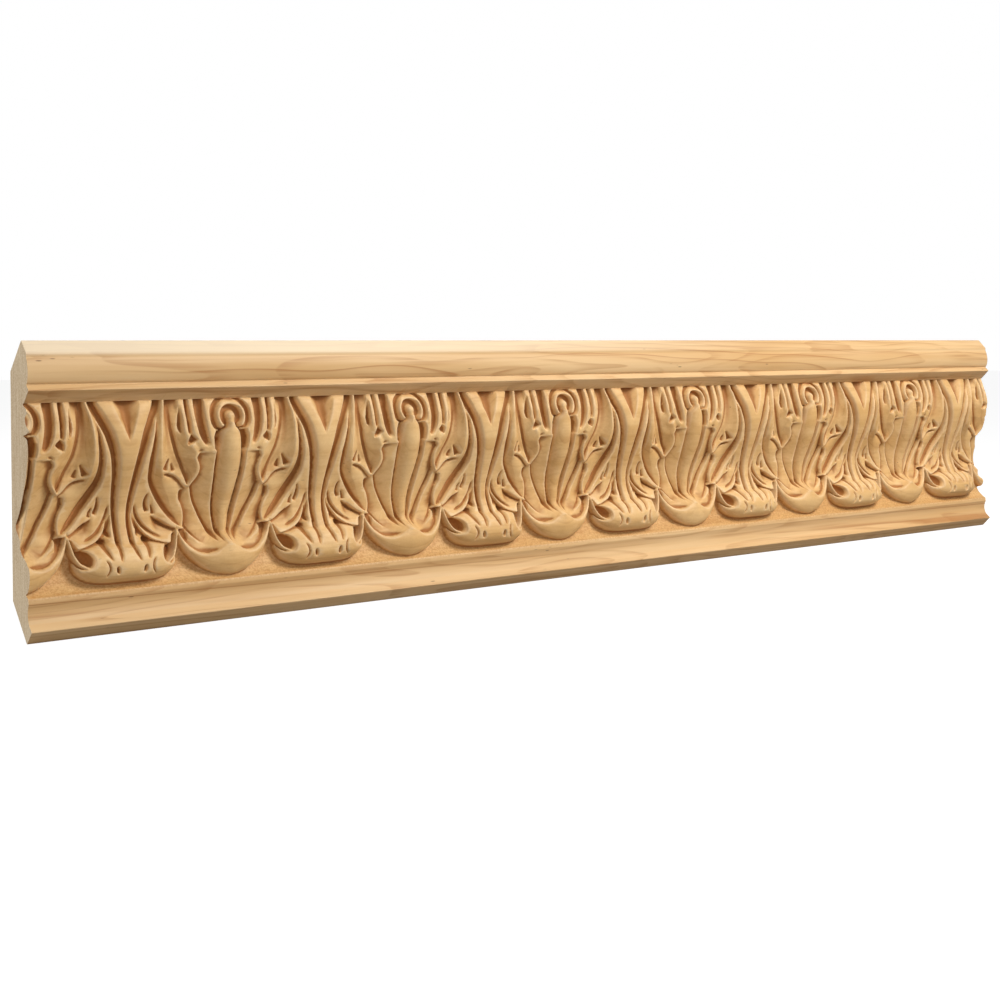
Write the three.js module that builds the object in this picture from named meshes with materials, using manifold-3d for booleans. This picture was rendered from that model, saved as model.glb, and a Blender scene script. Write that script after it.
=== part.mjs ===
// A crown moulding with a carved band, cut from one strip of maple.
// Millimetres, +Z up. The origin is at the middle of the flat back, +X runs along
// the length and the carved front faces -Y.
import * as THREE from "three";
import { mergeVertices } from "three/addons/utils/BufferGeometryUtils.js";
import Module from "manifold-3d";

const wasm = await Module();
wasm.setup();

// Driving dimensions
const LENGTH = 567;
const BACK_HEIGHT = 83; // the flat back, which sits between the two bevels
const TOP_BEVEL = 11.2; // rise, and depth, of the 45 degree bevel against the ceiling
const BOTTOM_BEVEL = 13.9; // fall, and depth, of the 45 degree bevel against the wall
const NOSE_DEPTH = 18.7; // the furthest forward line, from the back
const TOP_FILLET = 4.7; // 45 degree face above the bead
const BEAD_HEIGHT = 9.8;
const BEAD_BULGE = 1.3;
const BEAD_NOTCH = 1.4; // flat above the bead
const BEAD_SETBACK = 2.8; // from the nose to the bead's edges
const UPPER_NOSE_SETBACK = 0.8;
const UPPER_NOSE_STEP = 2; // drop from the bead's lower edge to the upper nose
const UPPER_FILLET = 4.7; // 45 degree face under the upper nose
const LOWER_FLAT = 1.6; // narrow flat under the carved band
const LOWER_COVE = 7.1; // height of the small cove under that flat
const COVE_DEPTH = 1;
const LOWER_NOSE_RISE = 2.4; // height of the slope between the cove and the lower nose

const REPEAT = 83.5; // from one shell to the next
const SHELL_BEFORE_END = 3.9; // the left end is cut this far past a shell's axis
const CARVED_DEPTH = 4; // what a sunk value of 100 cuts below the leaves' surface
const SWELL_DEPTH = 17.3; // where the leaves bulge furthest forward
const HOLLOW_DEPTH = 9.4; // where the leaves' surface lies deepest
const GROUND_DEPTH = 6.4; // plain ground behind the leaf tips
const BOWL_DEPTH = 16.4; // front of the bowl under each shell
const ROLL_DEPTH = 17.5; // front of the roll at each stem's foot
const STEP_SIDE = 0.5; // how far the foot of a bowl or roll stands outside its edge

// Heights of the section's corners, worked upwards and downwards from the back
const BACK_TOP = BACK_HEIGHT / 2;
const BACK_BOTTOM = -BACK_HEIGHT / 2;
const RIDGE_TOP = BACK_TOP + TOP_BEVEL;
const BEAD_EDGE = NOSE_DEPTH - BEAD_SETBACK;
const BEAD_TOP = RIDGE_TOP - TOP_FILLET - BEAD_NOTCH;
const BEAD_BOTTOM = BEAD_TOP - BEAD_HEIGHT;
const UPPER_NOSE = NOSE_DEPTH - UPPER_NOSE_SETBACK;
const BAND_TOP = BEAD_BOTTOM - UPPER_NOSE_STEP - UPPER_FILLET;
const RIDGE_BOTTOM = BACK_BOTTOM - BOTTOM_BEVEL;
const LOWER_FILLET = NOSE_DEPTH - BOTTOM_BEVEL;
const COVE_BOTTOM = RIDGE_BOTTOM + LOWER_FILLET + LOWER_NOSE_RISE;
const BAND_BOTTOM = COVE_BOTTOM + LOWER_COVE + LOWER_FLAT;
const BAND_HEIGHT = BAND_TOP - BAND_BOTTOM;
const BAND_EDGE_TOP = UPPER_NOSE - UPPER_FILLET;
const HALF = REPEAT / 2;
const RECESS_DEPTH = GROUND_DEPTH - 1.5; // the band's recess in the blank, behind all carving
const OVERLAP = 1.5; // how far the carved sheet runs into the blank above and below

/** Smooth value at `at`, through points of [place, value] in falling order of place. */
function through(points, at) {
  const last = points.length - 1;
  if (at >= points[0][0]) return points[0][1];
  if (at <= points[last][0]) return points[last][1];
  const i = points.findIndex(([place]) => place < at) - 1;
  const slope = (j) => {
    const a = points[Math.max(j - 1, 0)];
    const b = points[Math.min(j + 1, last)];
    return (b[1] - a[1]) / (b[0] - a[0]);
  };
  const [[p0, v0], [p1, v1]] = [points[i], points[i + 1]];
  const run = p1 - p0;
  const t = (at - p0) / run;
  const [t2, t3] = [t * t, t * t * t];
  return (
    (2 * t3 - 3 * t2 + 1) * v0 +
    (t3 - 2 * t2 + t) * run * slope(i) +
    (3 * t2 - 2 * t3) * v1 +
    (t3 - t2) * run * slope(i + 1)
  );
}

const mix = (a, b, t) => a + (b - a) * t;

// Carving. Heights are per cent of the carved band, from its lower edge. Places across
// are per cent of half a repeat, from the shell's axis to the stem's. What is sunk is
// per cent of CARVED_DEPTH, below the surface that the leaves' crests lie in.

// Shares of the way from hollow to swell, and from the deep ground out to the band's edge
const CREST_CURVE = [
  [100, 0.52], [94, 0.72], [80, 0.98], [74, 1], [63, 0.74], [52, 0.35], [42, 0.08], [33, 0], [22, 0.2],
];
const GROUND_CURVE = [[34, 0], [25, 0.07], [17, 0.17], [10, 0.31], [5, 0.52], [2.5, 0.73], [0, 1]];

/** Depth of the leaves' crests: a swell high up that falls to a hollow low down. */
const crest = (up) => mix(HOLLOW_DEPTH, SWELL_DEPTH, through(CREST_CURVE, up));

/** Depth of the plain ground: a cove that runs up behind the leaf tips. */
const ground = (up) => mix(GROUND_DEPTH, BEAD_EDGE, through(GROUND_CURVE, up));

// Each line that the carver follows down the band: its place across and how far it is sunk
const LINES = [
  { name: "finger's crest and knob",
    across: [[100, 0]],
    sunk: [[100, 60], [93, 6], [89, 14], [83, 36], [79, 8], [30, 0]] },
  { name: "finger's shoulder, and the dark crescent round its knob",
    across: [[100, 9], [92, 10], [84, 7], [72, 8], [40, 6.5], [24, 3.5]],
    sunk: [[100, 50], [92, 85], [84, 60], [79, 20], [30, 15]] },
  { name: "finger's edge groove, and the ring round the knob",
    across: [[100, 12.5], [92, 13.5], [83, 11.5], [70, 14], [54, 13], [40, 10.5], [24, 5.5]],
    sunk: [[100, 30], [92, 18], [84, 20], [80, 85], [40, 70], [24, 30]] },
  { name: "first flute's arris, and the groove outside the ring",
    across: [[100, 17], [92, 18], [83, 17.5], [78, 15], [54, 14.8], [40, 12], [24, 7]],
    sunk: [[100, 60], [90, 62], [82, 95], [75, 90], [70, 40], [40, 34], [24, 25]] },
  { name: "first flute, and the third strand",
    across: [[100, 22.5], [92, 23.3], [81, 22], [72, 18.5], [54, 23], [40, 18], [24, 10]],
    sunk: [[100, 40], [92, 16], [81, 16], [74, 34], [66, 58], [40, 50], [24, 40]] },
  { name: "first flute's foot, and the channel between the strands",
    across: [[100, 28.5], [88, 28], [75, 23.5], [62, 29], [53, 34], [44, 29.5], [30, 18], [22, 11]],
    sunk: [[100, 60], [90, 66], [78, 66], [60, 85], [40, 78], [24, 50]] },
  { name: "second flute's arris, and the second strand",
    across: [[100, 36], [86, 35.5], [79, 33], [72, 28], [63, 31.5], [53, 36.2], [44, 32], [30, 20], [22, 13]],
    sunk: [[100, 36], [92, 12], [79, 14], [72, 32], [64, 82], [56, 75], [50, 52], [24, 36]] },
  { name: "outer leaf's edge, and the slot between two strands",
    across: [[100, 41.5], [82, 41], [76, 39], [70, 34.5], [62, 34], [56, 35], [52, 39], [47, 45.5],
      [38, 40.5], [28, 39]],
    sunk: [[100, 60], [90, 75], [78, 70], [70, 30], [57, 36], [52, 82], [28, 70]] },
  { name: "outer leaf's rim, and the first strand",
    across: [[100, 46.5], [85, 44.5], [70, 39.5], [57, 38], [52, 41], [47, 48.5], [38, 43], [28, 42]],
    sunk: [[100, 36], [92, 16], [70, 20], [57, 26], [50, 34], [40, 34], [28, 6]] },
  { name: "outer leaf's hollow",
    across: [[100, 53], [85, 51.5], [72, 47.5], [62, 42.5], [52, 42.8], [47, 51.5], [38, 47], [29, 43.5]],
    sunk: [[100, 60], [85, 52], [70, 46], [54, 38], [40, 26], [29, 6]] },
  { name: "middle leaf's ridge",
    across: [[100, 59.5], [85, 59.3], [73, 55], [62, 47], [52, 44.5], [47, 54], [38, 50.5], [29, 45]],
    sunk: [[100, 40], [90, 5], [55, 8], [45, 20], [29, 8]] },
  { name: "middle leaf's hollow",
    across: [[100, 66.5], [80, 67], [62, 62.5], [51, 56.5], [40, 54], [29, 47]],
    sunk: [[100, 60], [85, 40], [60, 42], [45, 26], [29, 12]] },
  { name: "slit between the middle and the inner leaf",
    across: [[100, 70], [82, 73.5], [66, 78.5], [56, 76.5], [47, 69], [38, 57.5], [29, 48.5]],
    sunk: [[100, 40], [84, 20], [78, 75], [45, 82], [36, 70], [29, 20]] },
  { name: "inner leaf's vein",
    across: [[100, 72.5], [82, 79.5], [66, 85], [53, 84.5], [41, 80], [32, 73]],
    sunk: [[100, 40], [84, 6], [60, 12], [42, 34], [32, 20]] },
  { name: "inner leaf's ridge beside the stem",
    across: [[100, 71.3], [86, 79], [73, 87], [54, 91.5], [38, 92], [26, 89]],
    sunk: [[100, 40], [86, 2], [40, 4], [26, 8]] },
  { name: "deep groove beside the stem",
    across: [[100, 73.5], [86, 82], [73, 90], [54, 94.2], [38, 95.8], [26, 96]],
    sunk: [[100, 80], [86, 84], [30, 84], [22, 55]] },
  { name: "stem's arm",
    across: [[100, 83], [86, 90.5], [76, 95.5], [54, 97.6], [26, 98.5]],
    sunk: [[100, 38], [90, 4], [26, 4]] },
  { name: "stem's axis, and the hollow between its two arms",
    across: [[100, 100]],
    sunk: [[100, 92], [90, 70], [79, 6], [26, 0]] },
];

// Rows: straight ones across the leaves, then ones that bend round the bowl and the roll
const LEAF_ROWS = [96.5, 90, 83, 78.5, 71, 62, 52, 47, 40, 32];
const BEND_ROW = 0.6; // share of the way from the last straight row to the rims
const GROUND_ROW = 0.6; // share of the way from the foot down to the band's lower edge

// Bowl and roll. Their outlines meet in a cusp, at the place where two leaf tips touch.
const CUSP = 8; // the line that ends at the cusp
const CUSP_UP = 28;
const BOWL_REACH = 49; // from the shell's axis to the cusp
const BOWL_BOTTOM = 2.2;
const BOWL_ROUND = 2.1; // exponent of the outline, 2 being an ellipse
const ROLL_REACH = 100 - BOWL_REACH;
const ROLL_BOTTOM = 2.8;
const ROLL_ROUND = 2.7;
// Heights of the upper edges, by the share of the way from the axis to the cusp
const BOWL_LIP = [[1, 27.5], [0.9, 22], [0.7, 15], [0.45, 12.5], [0.2, 16.5], [0, 19]];
const ROLL_TOP = [[1, 27.5], [0.8, 25], [0.5, 22], [0, 20.5]];
const LIP_SETBACK = 2; // from the bowl's or roll's front back to its upper edge
const TIP_STAND = 3; // how far the tips at the cusp stand off the ground
const FRONT_UP = 12.5; // height where bowl and roll bulge furthest
const UNDER = 0.62; // share of the front's stand that is left at the outline

/** Share of the way that a line lies from a form's axis to the cusp, and the form it is on. */
function formAt(index) {
  const onBowl = index <= CUSP;
  const last = LINES.length - 1;
  return onBowl
    ? { toCusp: index / CUSP, axis: 0, side: 1, reach: BOWL_REACH, bottom: BOWL_BOTTOM, round: BOWL_ROUND,
        top: BOWL_LIP, front: BOWL_DEPTH }
    : { toCusp: (last - index) / (last - CUSP), axis: 100, side: -1, reach: ROLL_REACH, bottom: ROLL_BOTTOM,
        round: ROLL_ROUND, top: ROLL_TOP, front: ROLL_DEPTH };
}

/** Where a line crosses the upper edge, the bulge and the outline of its bowl or roll. */
function rimsAt(index) {
  const form = formAt(index);
  const turn = (form.toCusp * Math.PI) / 2;
  const out = Math.sin(turn) ** (2 / form.round);
  const down = Math.cos(turn) ** (2 / form.round);
  const across = form.axis + form.side * form.reach * out;
  const outlineUp = mix(CUSP_UP, form.bottom, down);
  const upperUp = through(form.top, form.toCusp);
  const stand = Math.sqrt(down);
  const tip = ground(CUSP_UP) + TIP_STAND;
  return {
    across,
    upper: { up: upperUp, depth: mix(tip, form.front - LIP_SETBACK, stand) },
    bulge: { up: mix(upperUp, outlineUp, 0.35), depth: mix(tip, form.front, stand) },
    outline: { up: outlineUp + 1, depth: mix(ground(outlineUp), mix(tip, form.front, stand), UNDER) },
    foot: outlineUp - (STEP_SIDE / BAND_HEIGHT) * 100,
  };
}

/** Points of one carved line from the band's top edge to its bottom edge. */
function carvedColumn(index) {
  const line = LINES[index];
  const points = [];
  const add = (across, up, depth) =>
    points.push([(across / 100) * HALF, BAND_BOTTOM + (up / 100) * BAND_HEIGHT, depth]);
  const leafDepth = (up) => crest(up) - (through(line.sunk, up) / 100) * CARVED_DEPTH;
  add(through(line.across, 100), 100 + (OVERLAP / BAND_HEIGHT) * 100, BAND_EDGE_TOP - OVERLAP);
  for (const up of LEAF_ROWS) add(through(line.across, up), up, leafDepth(up));

  const rims = rimsAt(index);
  const bendUp = mix(LEAF_ROWS.at(-1), rims.upper.up, BEND_ROW);
  add(mix(through(line.across, bendUp), rims.across, BEND_ROW ** 4), bendUp, leafDepth(bendUp));
  for (const row of [rims.upper, rims.bulge, rims.outline]) add(rims.across, row.up, row.depth);
  for (const up of [rims.foot, rims.foot * (1 - GROUND_ROW)]) add(rims.across, up, ground(up));
  add(rims.across, (-OVERLAP / BAND_HEIGHT) * 100, BEAD_EDGE - OVERLAP / 2);
  return points;
}

/** A closed solid from a grid of [x, y, z] rows, its front towards -Y, with a flat back. */
function slabFromGrid(columns, backDepth) {
  const rows = columns[0].length;
  const count = columns.length;
  const position = [];
  for (const column of columns) for (const [x, z, depth] of column) position.push(x, -depth, z);
  for (const column of columns) for (const [x, z] of column) position.push(x, -backDepth, z);
  const back = count * rows;
  const index = [];
  const quad = (a, b, c, d) => index.push(a, b, c, a, c, d);
  for (let i = 0; i + 1 < count; i++) {
    for (let j = 0; j + 1 < rows; j++) {
      const a = i * rows + j;
      const b = (i + 1) * rows + j;
      quad(a, a + 1, b + 1, b);
      quad(back + a, back + b, back + b + 1, back + a + 1);
    }
    const [top, nextTop] = [i * rows, (i + 1) * rows];
    const [low, nextLow] = [top + rows - 1, nextTop + rows - 1];
    quad(top, nextTop, back + nextTop, back + top);
    quad(low, back + low, back + nextLow, nextLow);
  }
  for (let j = 0; j + 1 < rows; j++) {
    const last = (count - 1) * rows + j;
    quad(j, back + j, back + j + 1, j + 1);
    quad(last, last + 1, back + last + 1, back + last);
  }
  const geometry = new THREE.BufferGeometry();
  geometry.setAttribute("position", new THREE.Float32BufferAttribute(position, 3));
  geometry.setIndex(index);
  return geometry;
}

/** The carved sheet over whole repeats, from before the left end to past the right one. */
function carvedSheet() {
  const half = LINES.map((line, index) => carvedColumn(index));
  const columns = [];
  const shift = (column, place) => column.map(([x, z, depth]) => [place(x), z, depth]);
  const cutOff = ((SHELL_BEFORE_END % REPEAT) + REPEAT) % REPEAT;
  let axis = -LENGTH / 2 - cutOff;
  for (; axis < LENGTH / 2 + OVERLAP; axis += REPEAT) {
    const [start, end] = [axis, axis + REPEAT];
    half.slice(0, -1).forEach((column) => columns.push(shift(column, (x) => start + x)));
    half.slice(1).reverse().forEach((column) => columns.push(shift(column, (x) => end - x)));
  }
  columns.push(shift(half[0], () => axis));
  return slabFromGrid(columns, RECESS_DEPTH - OVERLAP);
}

/** The moulding's section as the strip leaves the planer, with the band cut back. */
function blankSection() {
  const section = new THREE.Shape();
  section.moveTo(0, BACK_BOTTOM);
  section.lineTo(BOTTOM_BEVEL, RIDGE_BOTTOM);
  section.lineTo(NOSE_DEPTH, RIDGE_BOTTOM + LOWER_FILLET);
  section.lineTo(BEAD_EDGE, COVE_BOTTOM);
  section.quadraticCurveTo(
    BEAD_EDGE - 2 * COVE_DEPTH, COVE_BOTTOM + LOWER_COVE / 2,
    BEAD_EDGE, COVE_BOTTOM + LOWER_COVE,
  );
  section.lineTo(BEAD_EDGE, BAND_BOTTOM);
  section.lineTo(RECESS_DEPTH, BAND_BOTTOM);
  section.lineTo(RECESS_DEPTH, BAND_TOP);
  section.lineTo(BAND_EDGE_TOP, BAND_TOP);
  section.lineTo(UPPER_NOSE, BAND_TOP + UPPER_FILLET);
  section.lineTo(BEAD_EDGE, BEAD_BOTTOM);
  section.quadraticCurveTo(
    BEAD_EDGE + 2 * BEAD_BULGE, mix(BEAD_BOTTOM, BEAD_TOP, 0.4),
    BEAD_EDGE, BEAD_TOP,
  );
  section.lineTo(BEAD_EDGE, RIDGE_TOP - TOP_FILLET);
  section.lineTo(TOP_BEVEL, RIDGE_TOP);
  section.lineTo(0, BACK_TOP);
  section.closePath();
  return section;
}

/** The blank along X: the section is drawn as depth and height, and extruded lengthwise. */
function blank(length) {
  const options = { depth: length, bevelEnabled: false, curveSegments: 8 };
  const geometry = new THREE.ExtrudeGeometry(blankSection(), options);
  const basis = new THREE.Matrix4().makeBasis(
    new THREE.Vector3(0, -1, 0),
    new THREE.Vector3(0, 0, 1),
    new THREE.Vector3(-1, 0, 0),
  );
  geometry.applyMatrix4(basis);
  geometry.translate(length / 2, 0, 0);
  return geometry;
}

/** A manifold solid of a closed geometry. */
function solid(geometry) {
  const bare = geometry.clone();
  bare.deleteAttribute("normal");
  bare.deleteAttribute("uv");
  const merged = mergeVertices(bare, 1e-4);
  return new wasm.Manifold(
    new wasm.Mesh({
      numProp: 3,
      vertProperties: new Float32Array(merged.attributes.position.array),
      triVerts: new Uint32Array(merged.index.array),
    }),
  );
}

/** The geometry of a manifold solid. */
function geometryOf(body) {
  const mesh = body.getMesh();
  const geometry = new THREE.BufferGeometry();
  geometry.setAttribute("position", new THREE.BufferAttribute(new Float32Array(mesh.vertProperties), 3));
  geometry.setIndex(new THREE.BufferAttribute(new Uint32Array(mesh.triVerts), 1));
  geometry.computeVertexNormals();
  return geometry;
}

/** The moulding: blank and carved sheet joined, then both ends cut square. */
function carvedMoulding() {
  const joined = solid(blank(LENGTH + REPEAT)).add(solid(carvedSheet()));
  const saw = new THREE.BoxGeometry(LENGTH, 4 * NOSE_DEPTH, 4 * BACK_HEIGHT);
  return geometryOf(joined.intersect(solid(saw)));
}

const maple = new THREE.MeshStandardMaterial({ color: "#dcb783", roughness: 0.62, metalness: 0 });
const moulding = new THREE.Mesh(carvedMoulding(), maple);
moulding.name = "carved_moulding";

const part = new THREE.Group();
part.add(moulding);
export default part;
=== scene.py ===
"""Carved maple crown moulding: its fine relief, its finish, a studio and the camera.

Sizes inside the relief are millimetres, as a carver would give them, and every mesh and
light is in metres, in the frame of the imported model.
"""
import logging
import math
from dataclasses import dataclass, field
from enum import Enum
from typing import Any, Sequence

import bpy
import numpy as np
from mathutils import Matrix, Vector


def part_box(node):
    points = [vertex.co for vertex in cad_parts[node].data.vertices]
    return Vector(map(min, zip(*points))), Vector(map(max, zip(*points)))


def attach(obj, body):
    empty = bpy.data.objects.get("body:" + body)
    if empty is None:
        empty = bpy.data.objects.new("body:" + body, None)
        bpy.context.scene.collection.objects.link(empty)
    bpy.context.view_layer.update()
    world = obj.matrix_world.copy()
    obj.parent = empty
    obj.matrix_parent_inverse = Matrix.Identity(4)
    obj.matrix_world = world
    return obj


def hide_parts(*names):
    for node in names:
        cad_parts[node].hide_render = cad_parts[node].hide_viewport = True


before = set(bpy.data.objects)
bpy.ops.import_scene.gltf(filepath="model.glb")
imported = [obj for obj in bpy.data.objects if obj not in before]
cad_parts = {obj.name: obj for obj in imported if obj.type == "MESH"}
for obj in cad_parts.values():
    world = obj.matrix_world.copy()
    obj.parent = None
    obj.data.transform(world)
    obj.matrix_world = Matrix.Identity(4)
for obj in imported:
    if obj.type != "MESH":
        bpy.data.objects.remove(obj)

LOG = logging.getLogger("moulding")
MM = 0.001
NODE = "carved_moulding"
Place = tuple[float, float]
Colour = tuple[float, float, float, float]
Array = np.ndarray


def ease(t: Array) -> Array:
    """A smooth step: 0 below 0, 1 above 1, and 3t^2 - 2t^3 between.

    Args:
        t: Shares of the way.

    Returns:
        The eased shares.
    """
    t = np.clip(t, 0.0, 1.0)
    return t * t * (3.0 - 2.0 * t)


def past(distance: Array, softness: float) -> Array:
    """How far past an edge a point is, from 0 before it to 1 behind it.

    Args:
        distance: Distance past the edge, in mm.
        softness: Half the width over which the change is spread.

    Returns:
        Eased shares of the same shape.
    """
    return ease((distance + softness) / (2.0 * softness))


def through(points: Sequence[Place], at: Array) -> Array:
    """A smooth curve through points: cubic Hermite pieces, level beyond the ends.

    Args:
        points: Pairs of place and value, in any order.
        at: Places to work out.

    Returns:
        The curve's values at those places.
    """
    x, y = np.array(sorted(points), float).T
    slope = np.gradient(y, x)
    a = np.clip(at, x[0], x[-1])
    i = np.clip(np.searchsorted(x, a, side="right") - 1, 0, len(x) - 2)
    h = x[i + 1] - x[i]
    t = (a - x[i]) / h
    t2, t3 = t * t, t * t * t
    rest = (t3 - 2 * t2 + t) * h * slope[i] + (t3 - t2) * h * slope[i + 1]
    return (2 * t3 - 3 * t2 + 1) * y[i] + (3 * t2 - 2 * t3) * y[i + 1] + rest


def hump(t: Array, power: float = 1.0) -> Array:
    """A rounded swelling, (1 - t^2)^power: 1 at the middle and 0 from 1 on."""
    return np.clip(1.0 - t ** 2, 0.0, 1.0) ** power


def mirrored(half: Array) -> Array:
    """A whole repeat from its first half, mirrored about that half's last column."""
    return np.concatenate([half, half[:, -2:0:-1]], axis=1)


def fall(count: int, radius: float) -> Array:
    """How much of each frequency a Gaussian blur leaves: exp(-2 (pi r f)^2)."""
    return np.exp(-2.0 * (math.pi * radius * np.fft.fftfreq(count)) ** 2)


def blurred(values: Array, radius: float) -> Array:
    """Gaussian blur of a field that repeats across and stands still past its top and bottom.

    The field's spectrum is multiplied by the Gaussian's own.

    Args:
        values: Rows of heights by columns across one whole repeat.
        radius: Standard deviation, in samples.

    Returns:
        The blurred field.
    """
    pad = int(4 * radius) + 1
    tall = np.pad(values, ((pad, pad), (0, 0)), mode="edge")
    rows, columns = tall.shape
    spectrum = np.fft.fft2(tall) * fall(rows, radius)[:, None] * fall(columns, radius)[None, :]
    return np.fft.ifft2(spectrum).real[pad:-pad]


@dataclass(frozen=True)
class Section:
    """The plain section, as (depth from the back, height from the back's lower edge) in mm."""

    back_height: float = 83.0
    top_bevel: float = 11.2
    bottom_bevel: float = 13.9
    nose: float = 18.7
    bead_setback: float = 2.8
    band_low: float = 2.2
    band_high: float = 71.6
    upper_nose: Place = (17.9, 76.3)
    bead_low: float = 78.3
    bead_high: float = 88.1
    bead_bulge: float = 1.35
    bead_rows: int = 12
    top_fillet: float = 4.7
    bottom_fillet: float = 4.8
    cove_low: float = -6.6
    cove_high: float = 0.5
    cove_sunk: float = 1.0
    cove_rows: int = 8

    @property
    def bead_edge(self) -> float:
        """Depth of the bead's edges and of the cove's."""
        return self.nose - self.bead_setback

    def upper(self) -> list[Place]:
        """Corners from the upper nose over the bead and the bevel to the back's top.

        The bead stands out by bulge * sin(pi t^0.85)^0.8 as t runs up it.

        Returns:
            Pairs of depth and height.
        """
        ridge = self.back_height + self.top_bevel
        t = np.linspace(0.0, 1.0, self.bead_rows)
        bulge = self.bead_bulge * np.sin(np.pi * t ** 0.85) ** 0.8
        heights = self.bead_low + (self.bead_high - self.bead_low) * t
        bead = [(self.bead_edge + b, z) for z, b in zip(heights, bulge)]
        return [self.upper_nose] + bead + [
            (self.bead_edge, ridge - self.top_fillet), (self.top_bevel, ridge), (0.0, self.back_height)]

    def lower(self) -> list[Place]:
        """Corners from the back's lower edge round the bottom ridge up over the cove.

        The cove is sunk by sunk * sin(pi t) as t runs up it.

        Returns:
            Pairs of depth and height.
        """
        ridge = -self.bottom_bevel
        rise = self.cove_high - self.cove_low
        cove = [(self.bead_edge - self.cove_sunk * math.sin(math.pi * t), self.cove_low + rise * t)
                for t in np.linspace(0.0, 1.0, self.cove_rows)]
        return [(0.0, 0.0), (self.bottom_bevel, ridge), (self.nose, ridge + self.bottom_fillet)] + cove


@dataclass(frozen=True)
class Stroke:
    """One stroke of the carver's tool: a path, and sizes spaced evenly along it, in mm.

    The path runs through pairs of across and height. Its ends are the shares of it over which
    the stroke fades in and out, and its power sets how square (low) or pointed (high) it is.
    """

    path: Sequence[Place]
    width: Sequence[float] | float
    deep: Sequence[float] | float
    ends: Place = (0.15, 0.15)
    power: float = 0.8


class ReliefField:
    """Depths over half a repeat, from a shell's axis (across 0) to a stem's, in mm.

    Three curves of height and depth guide it: the leaves' surface, the bare ground, and the
    leaves' surface where it curls out over the rolls.
    """

    LEAF_TOP = ((2, 14.0), (10, 13.2), (17.5, 11.2), (21, 10.2), (25, 9.5), (31, 10.0), (38, 12.1),
                (46, 15.1), (53.6, 17.1), (58.5, 17.2), (63, 16.7), (67.4, 15.5), (71.6, 13.9))
    GROUND = ((2.2, 15.6), (3, 14.3), (4.2, 12.9), (6, 11.1), (9, 9.4), (14, 8.0), (20, 7.0),
              (26, 6.4), (40, 6.4))
    CURL = ((8, 16.6), (12, 16.4), (14, 15.8), (16, 14.9), (18, 13.8), (20, 12.6), (22, 11.6),
            (25, 10.4), (28, 10.0), (31, 10.0))
    CURL_FROM = 31.0
    AXIS_RISE = 1.9
    AXIS_WIDTH = 9.5
    MARGIN = 0.3

    def __init__(self, half: float, section: Section, step: float) -> None:
        """Lay out the grid and fill it with the plain ground.

        The leaves' surface swells about the shell's axis, by rise * exp(-(u / width)^2.8).

        Args:
            half: Half a repeat, in mm.
            section: The plain section, for the band's edges.
            step: Spacing of the samples, in mm.
        """
        self.half = half
        self.u = np.linspace(0.0, half, int(round(half / step)) + 1)
        rows = int(round((section.band_high - section.band_low) / step)) + 1
        self.z = np.linspace(section.band_low, section.band_high, rows)
        self.U, self.Z = np.meshgrid(self.u, self.z)
        self.S = half - self.U
        swell = self.AXIS_RISE * np.exp(-((self.U / self.AXIS_WIDTH) ** 2) ** 1.4)
        self.leaf_top = through(self.LEAF_TOP, self.Z) + swell * ease((self.Z - 24.0) / 20.0)
        self.ground = through(self.GROUND, self.Z)
        self.curl = np.where(self.Z < self.CURL_FROM, through(self.CURL, self.Z), self.leaf_top)
        self.depth = self.ground.copy()

    def line(self, places: Sequence[Place]) -> Array:
        """Where a carved line runs, on every row.

        Args:
            places: Pairs of across and height, in mm.

        Returns:
            The line's place across, for each sample.
        """
        return through([(z, u) for u, z in places], self.Z)

    def lay(self, cover: Array, surface: Array) -> None:
        """Lay a surface over what is there, where its cover is 1.

        Args:
            cover: Shares from 0 to 1.
            surface: Depths of the new surface.
        """
        self.depth = self.depth * (1.0 - cover) + surface * cover

    def join(self, surface: Array, blend: float) -> None:
        """Raise the field to a surface where that stands higher, with a soft valley between.

        The valley is the smooth maximum: max(a, b) + (1 - |a - b| / k)^2 k / 4.

        Args:
            surface: Depths of the surface that grows out.
            blend: Width k of the soft valley, in mm.
        """
        gap = np.clip(1.0 - np.abs(self.depth - surface) / blend, 0.0, 1.0)
        self.depth = np.maximum(self.depth, surface) + gap * gap * blend / 4.0

    def near(self, stroke: Stroke) -> tuple[tuple[slice, slice], Array, Array]:
        """Distance to a stroke's path and share along it, in the window round the path.

        The path is a Catmull-Rom curve through its places, taken in short straight legs.

        Args:
            stroke: The stroke.

        Returns:
            The window, the distances and the shares.
        """
        p = np.array(stroke.path, float)
        reach = float(np.max(stroke.width)) + self.MARGIN
        q = np.vstack([2 * p[0] - p[1], p, 2 * p[-1] - p[-2]])
        t = np.linspace(0.0, 1.0, 8, endpoint=False)[:, None]
        parts = [
            0.5 * (2 * b + (c - a) * t + (2 * a - 5 * b + 4 * c - e) * t**2 + (3 * b - a - 3 * c + e) * t**3)
            for a, b, c, e in zip(q, q[1:], q[2:], q[3:])]
        path = np.vstack(parts + [p[-1:]])
        low, high = path.min(0) - reach, path.max(0) + reach
        i0, i1 = np.searchsorted(self.u, [low[0], high[0]])
        j0, j1 = np.searchsorted(self.z, [low[1], high[1]])
        window = (slice(j0, j1), slice(i0, i1))
        U, Z = self.U[window], self.Z[window]
        leg = np.diff(path, axis=0)
        length = np.maximum(np.hypot(*leg.T), 1e-9)
        run = np.concatenate([[0.0], np.cumsum(length)])
        best, share = np.full(U.shape, np.inf), np.zeros(U.shape)
        for start, step, size, before in zip(path, leg, length, run):
            du, dz = U - start[0], Z - start[1]
            s = np.clip((du * step[0] + dz * step[1]) / size**2, 0.0, 1.0)
            away = np.hypot(du - s * step[0], dz - s * step[1])
            closer = away < best
            best = np.where(closer, away, best)
            share = np.where(closer, (before + s * size) / run[-1], share)
        return window, best, share

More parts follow.
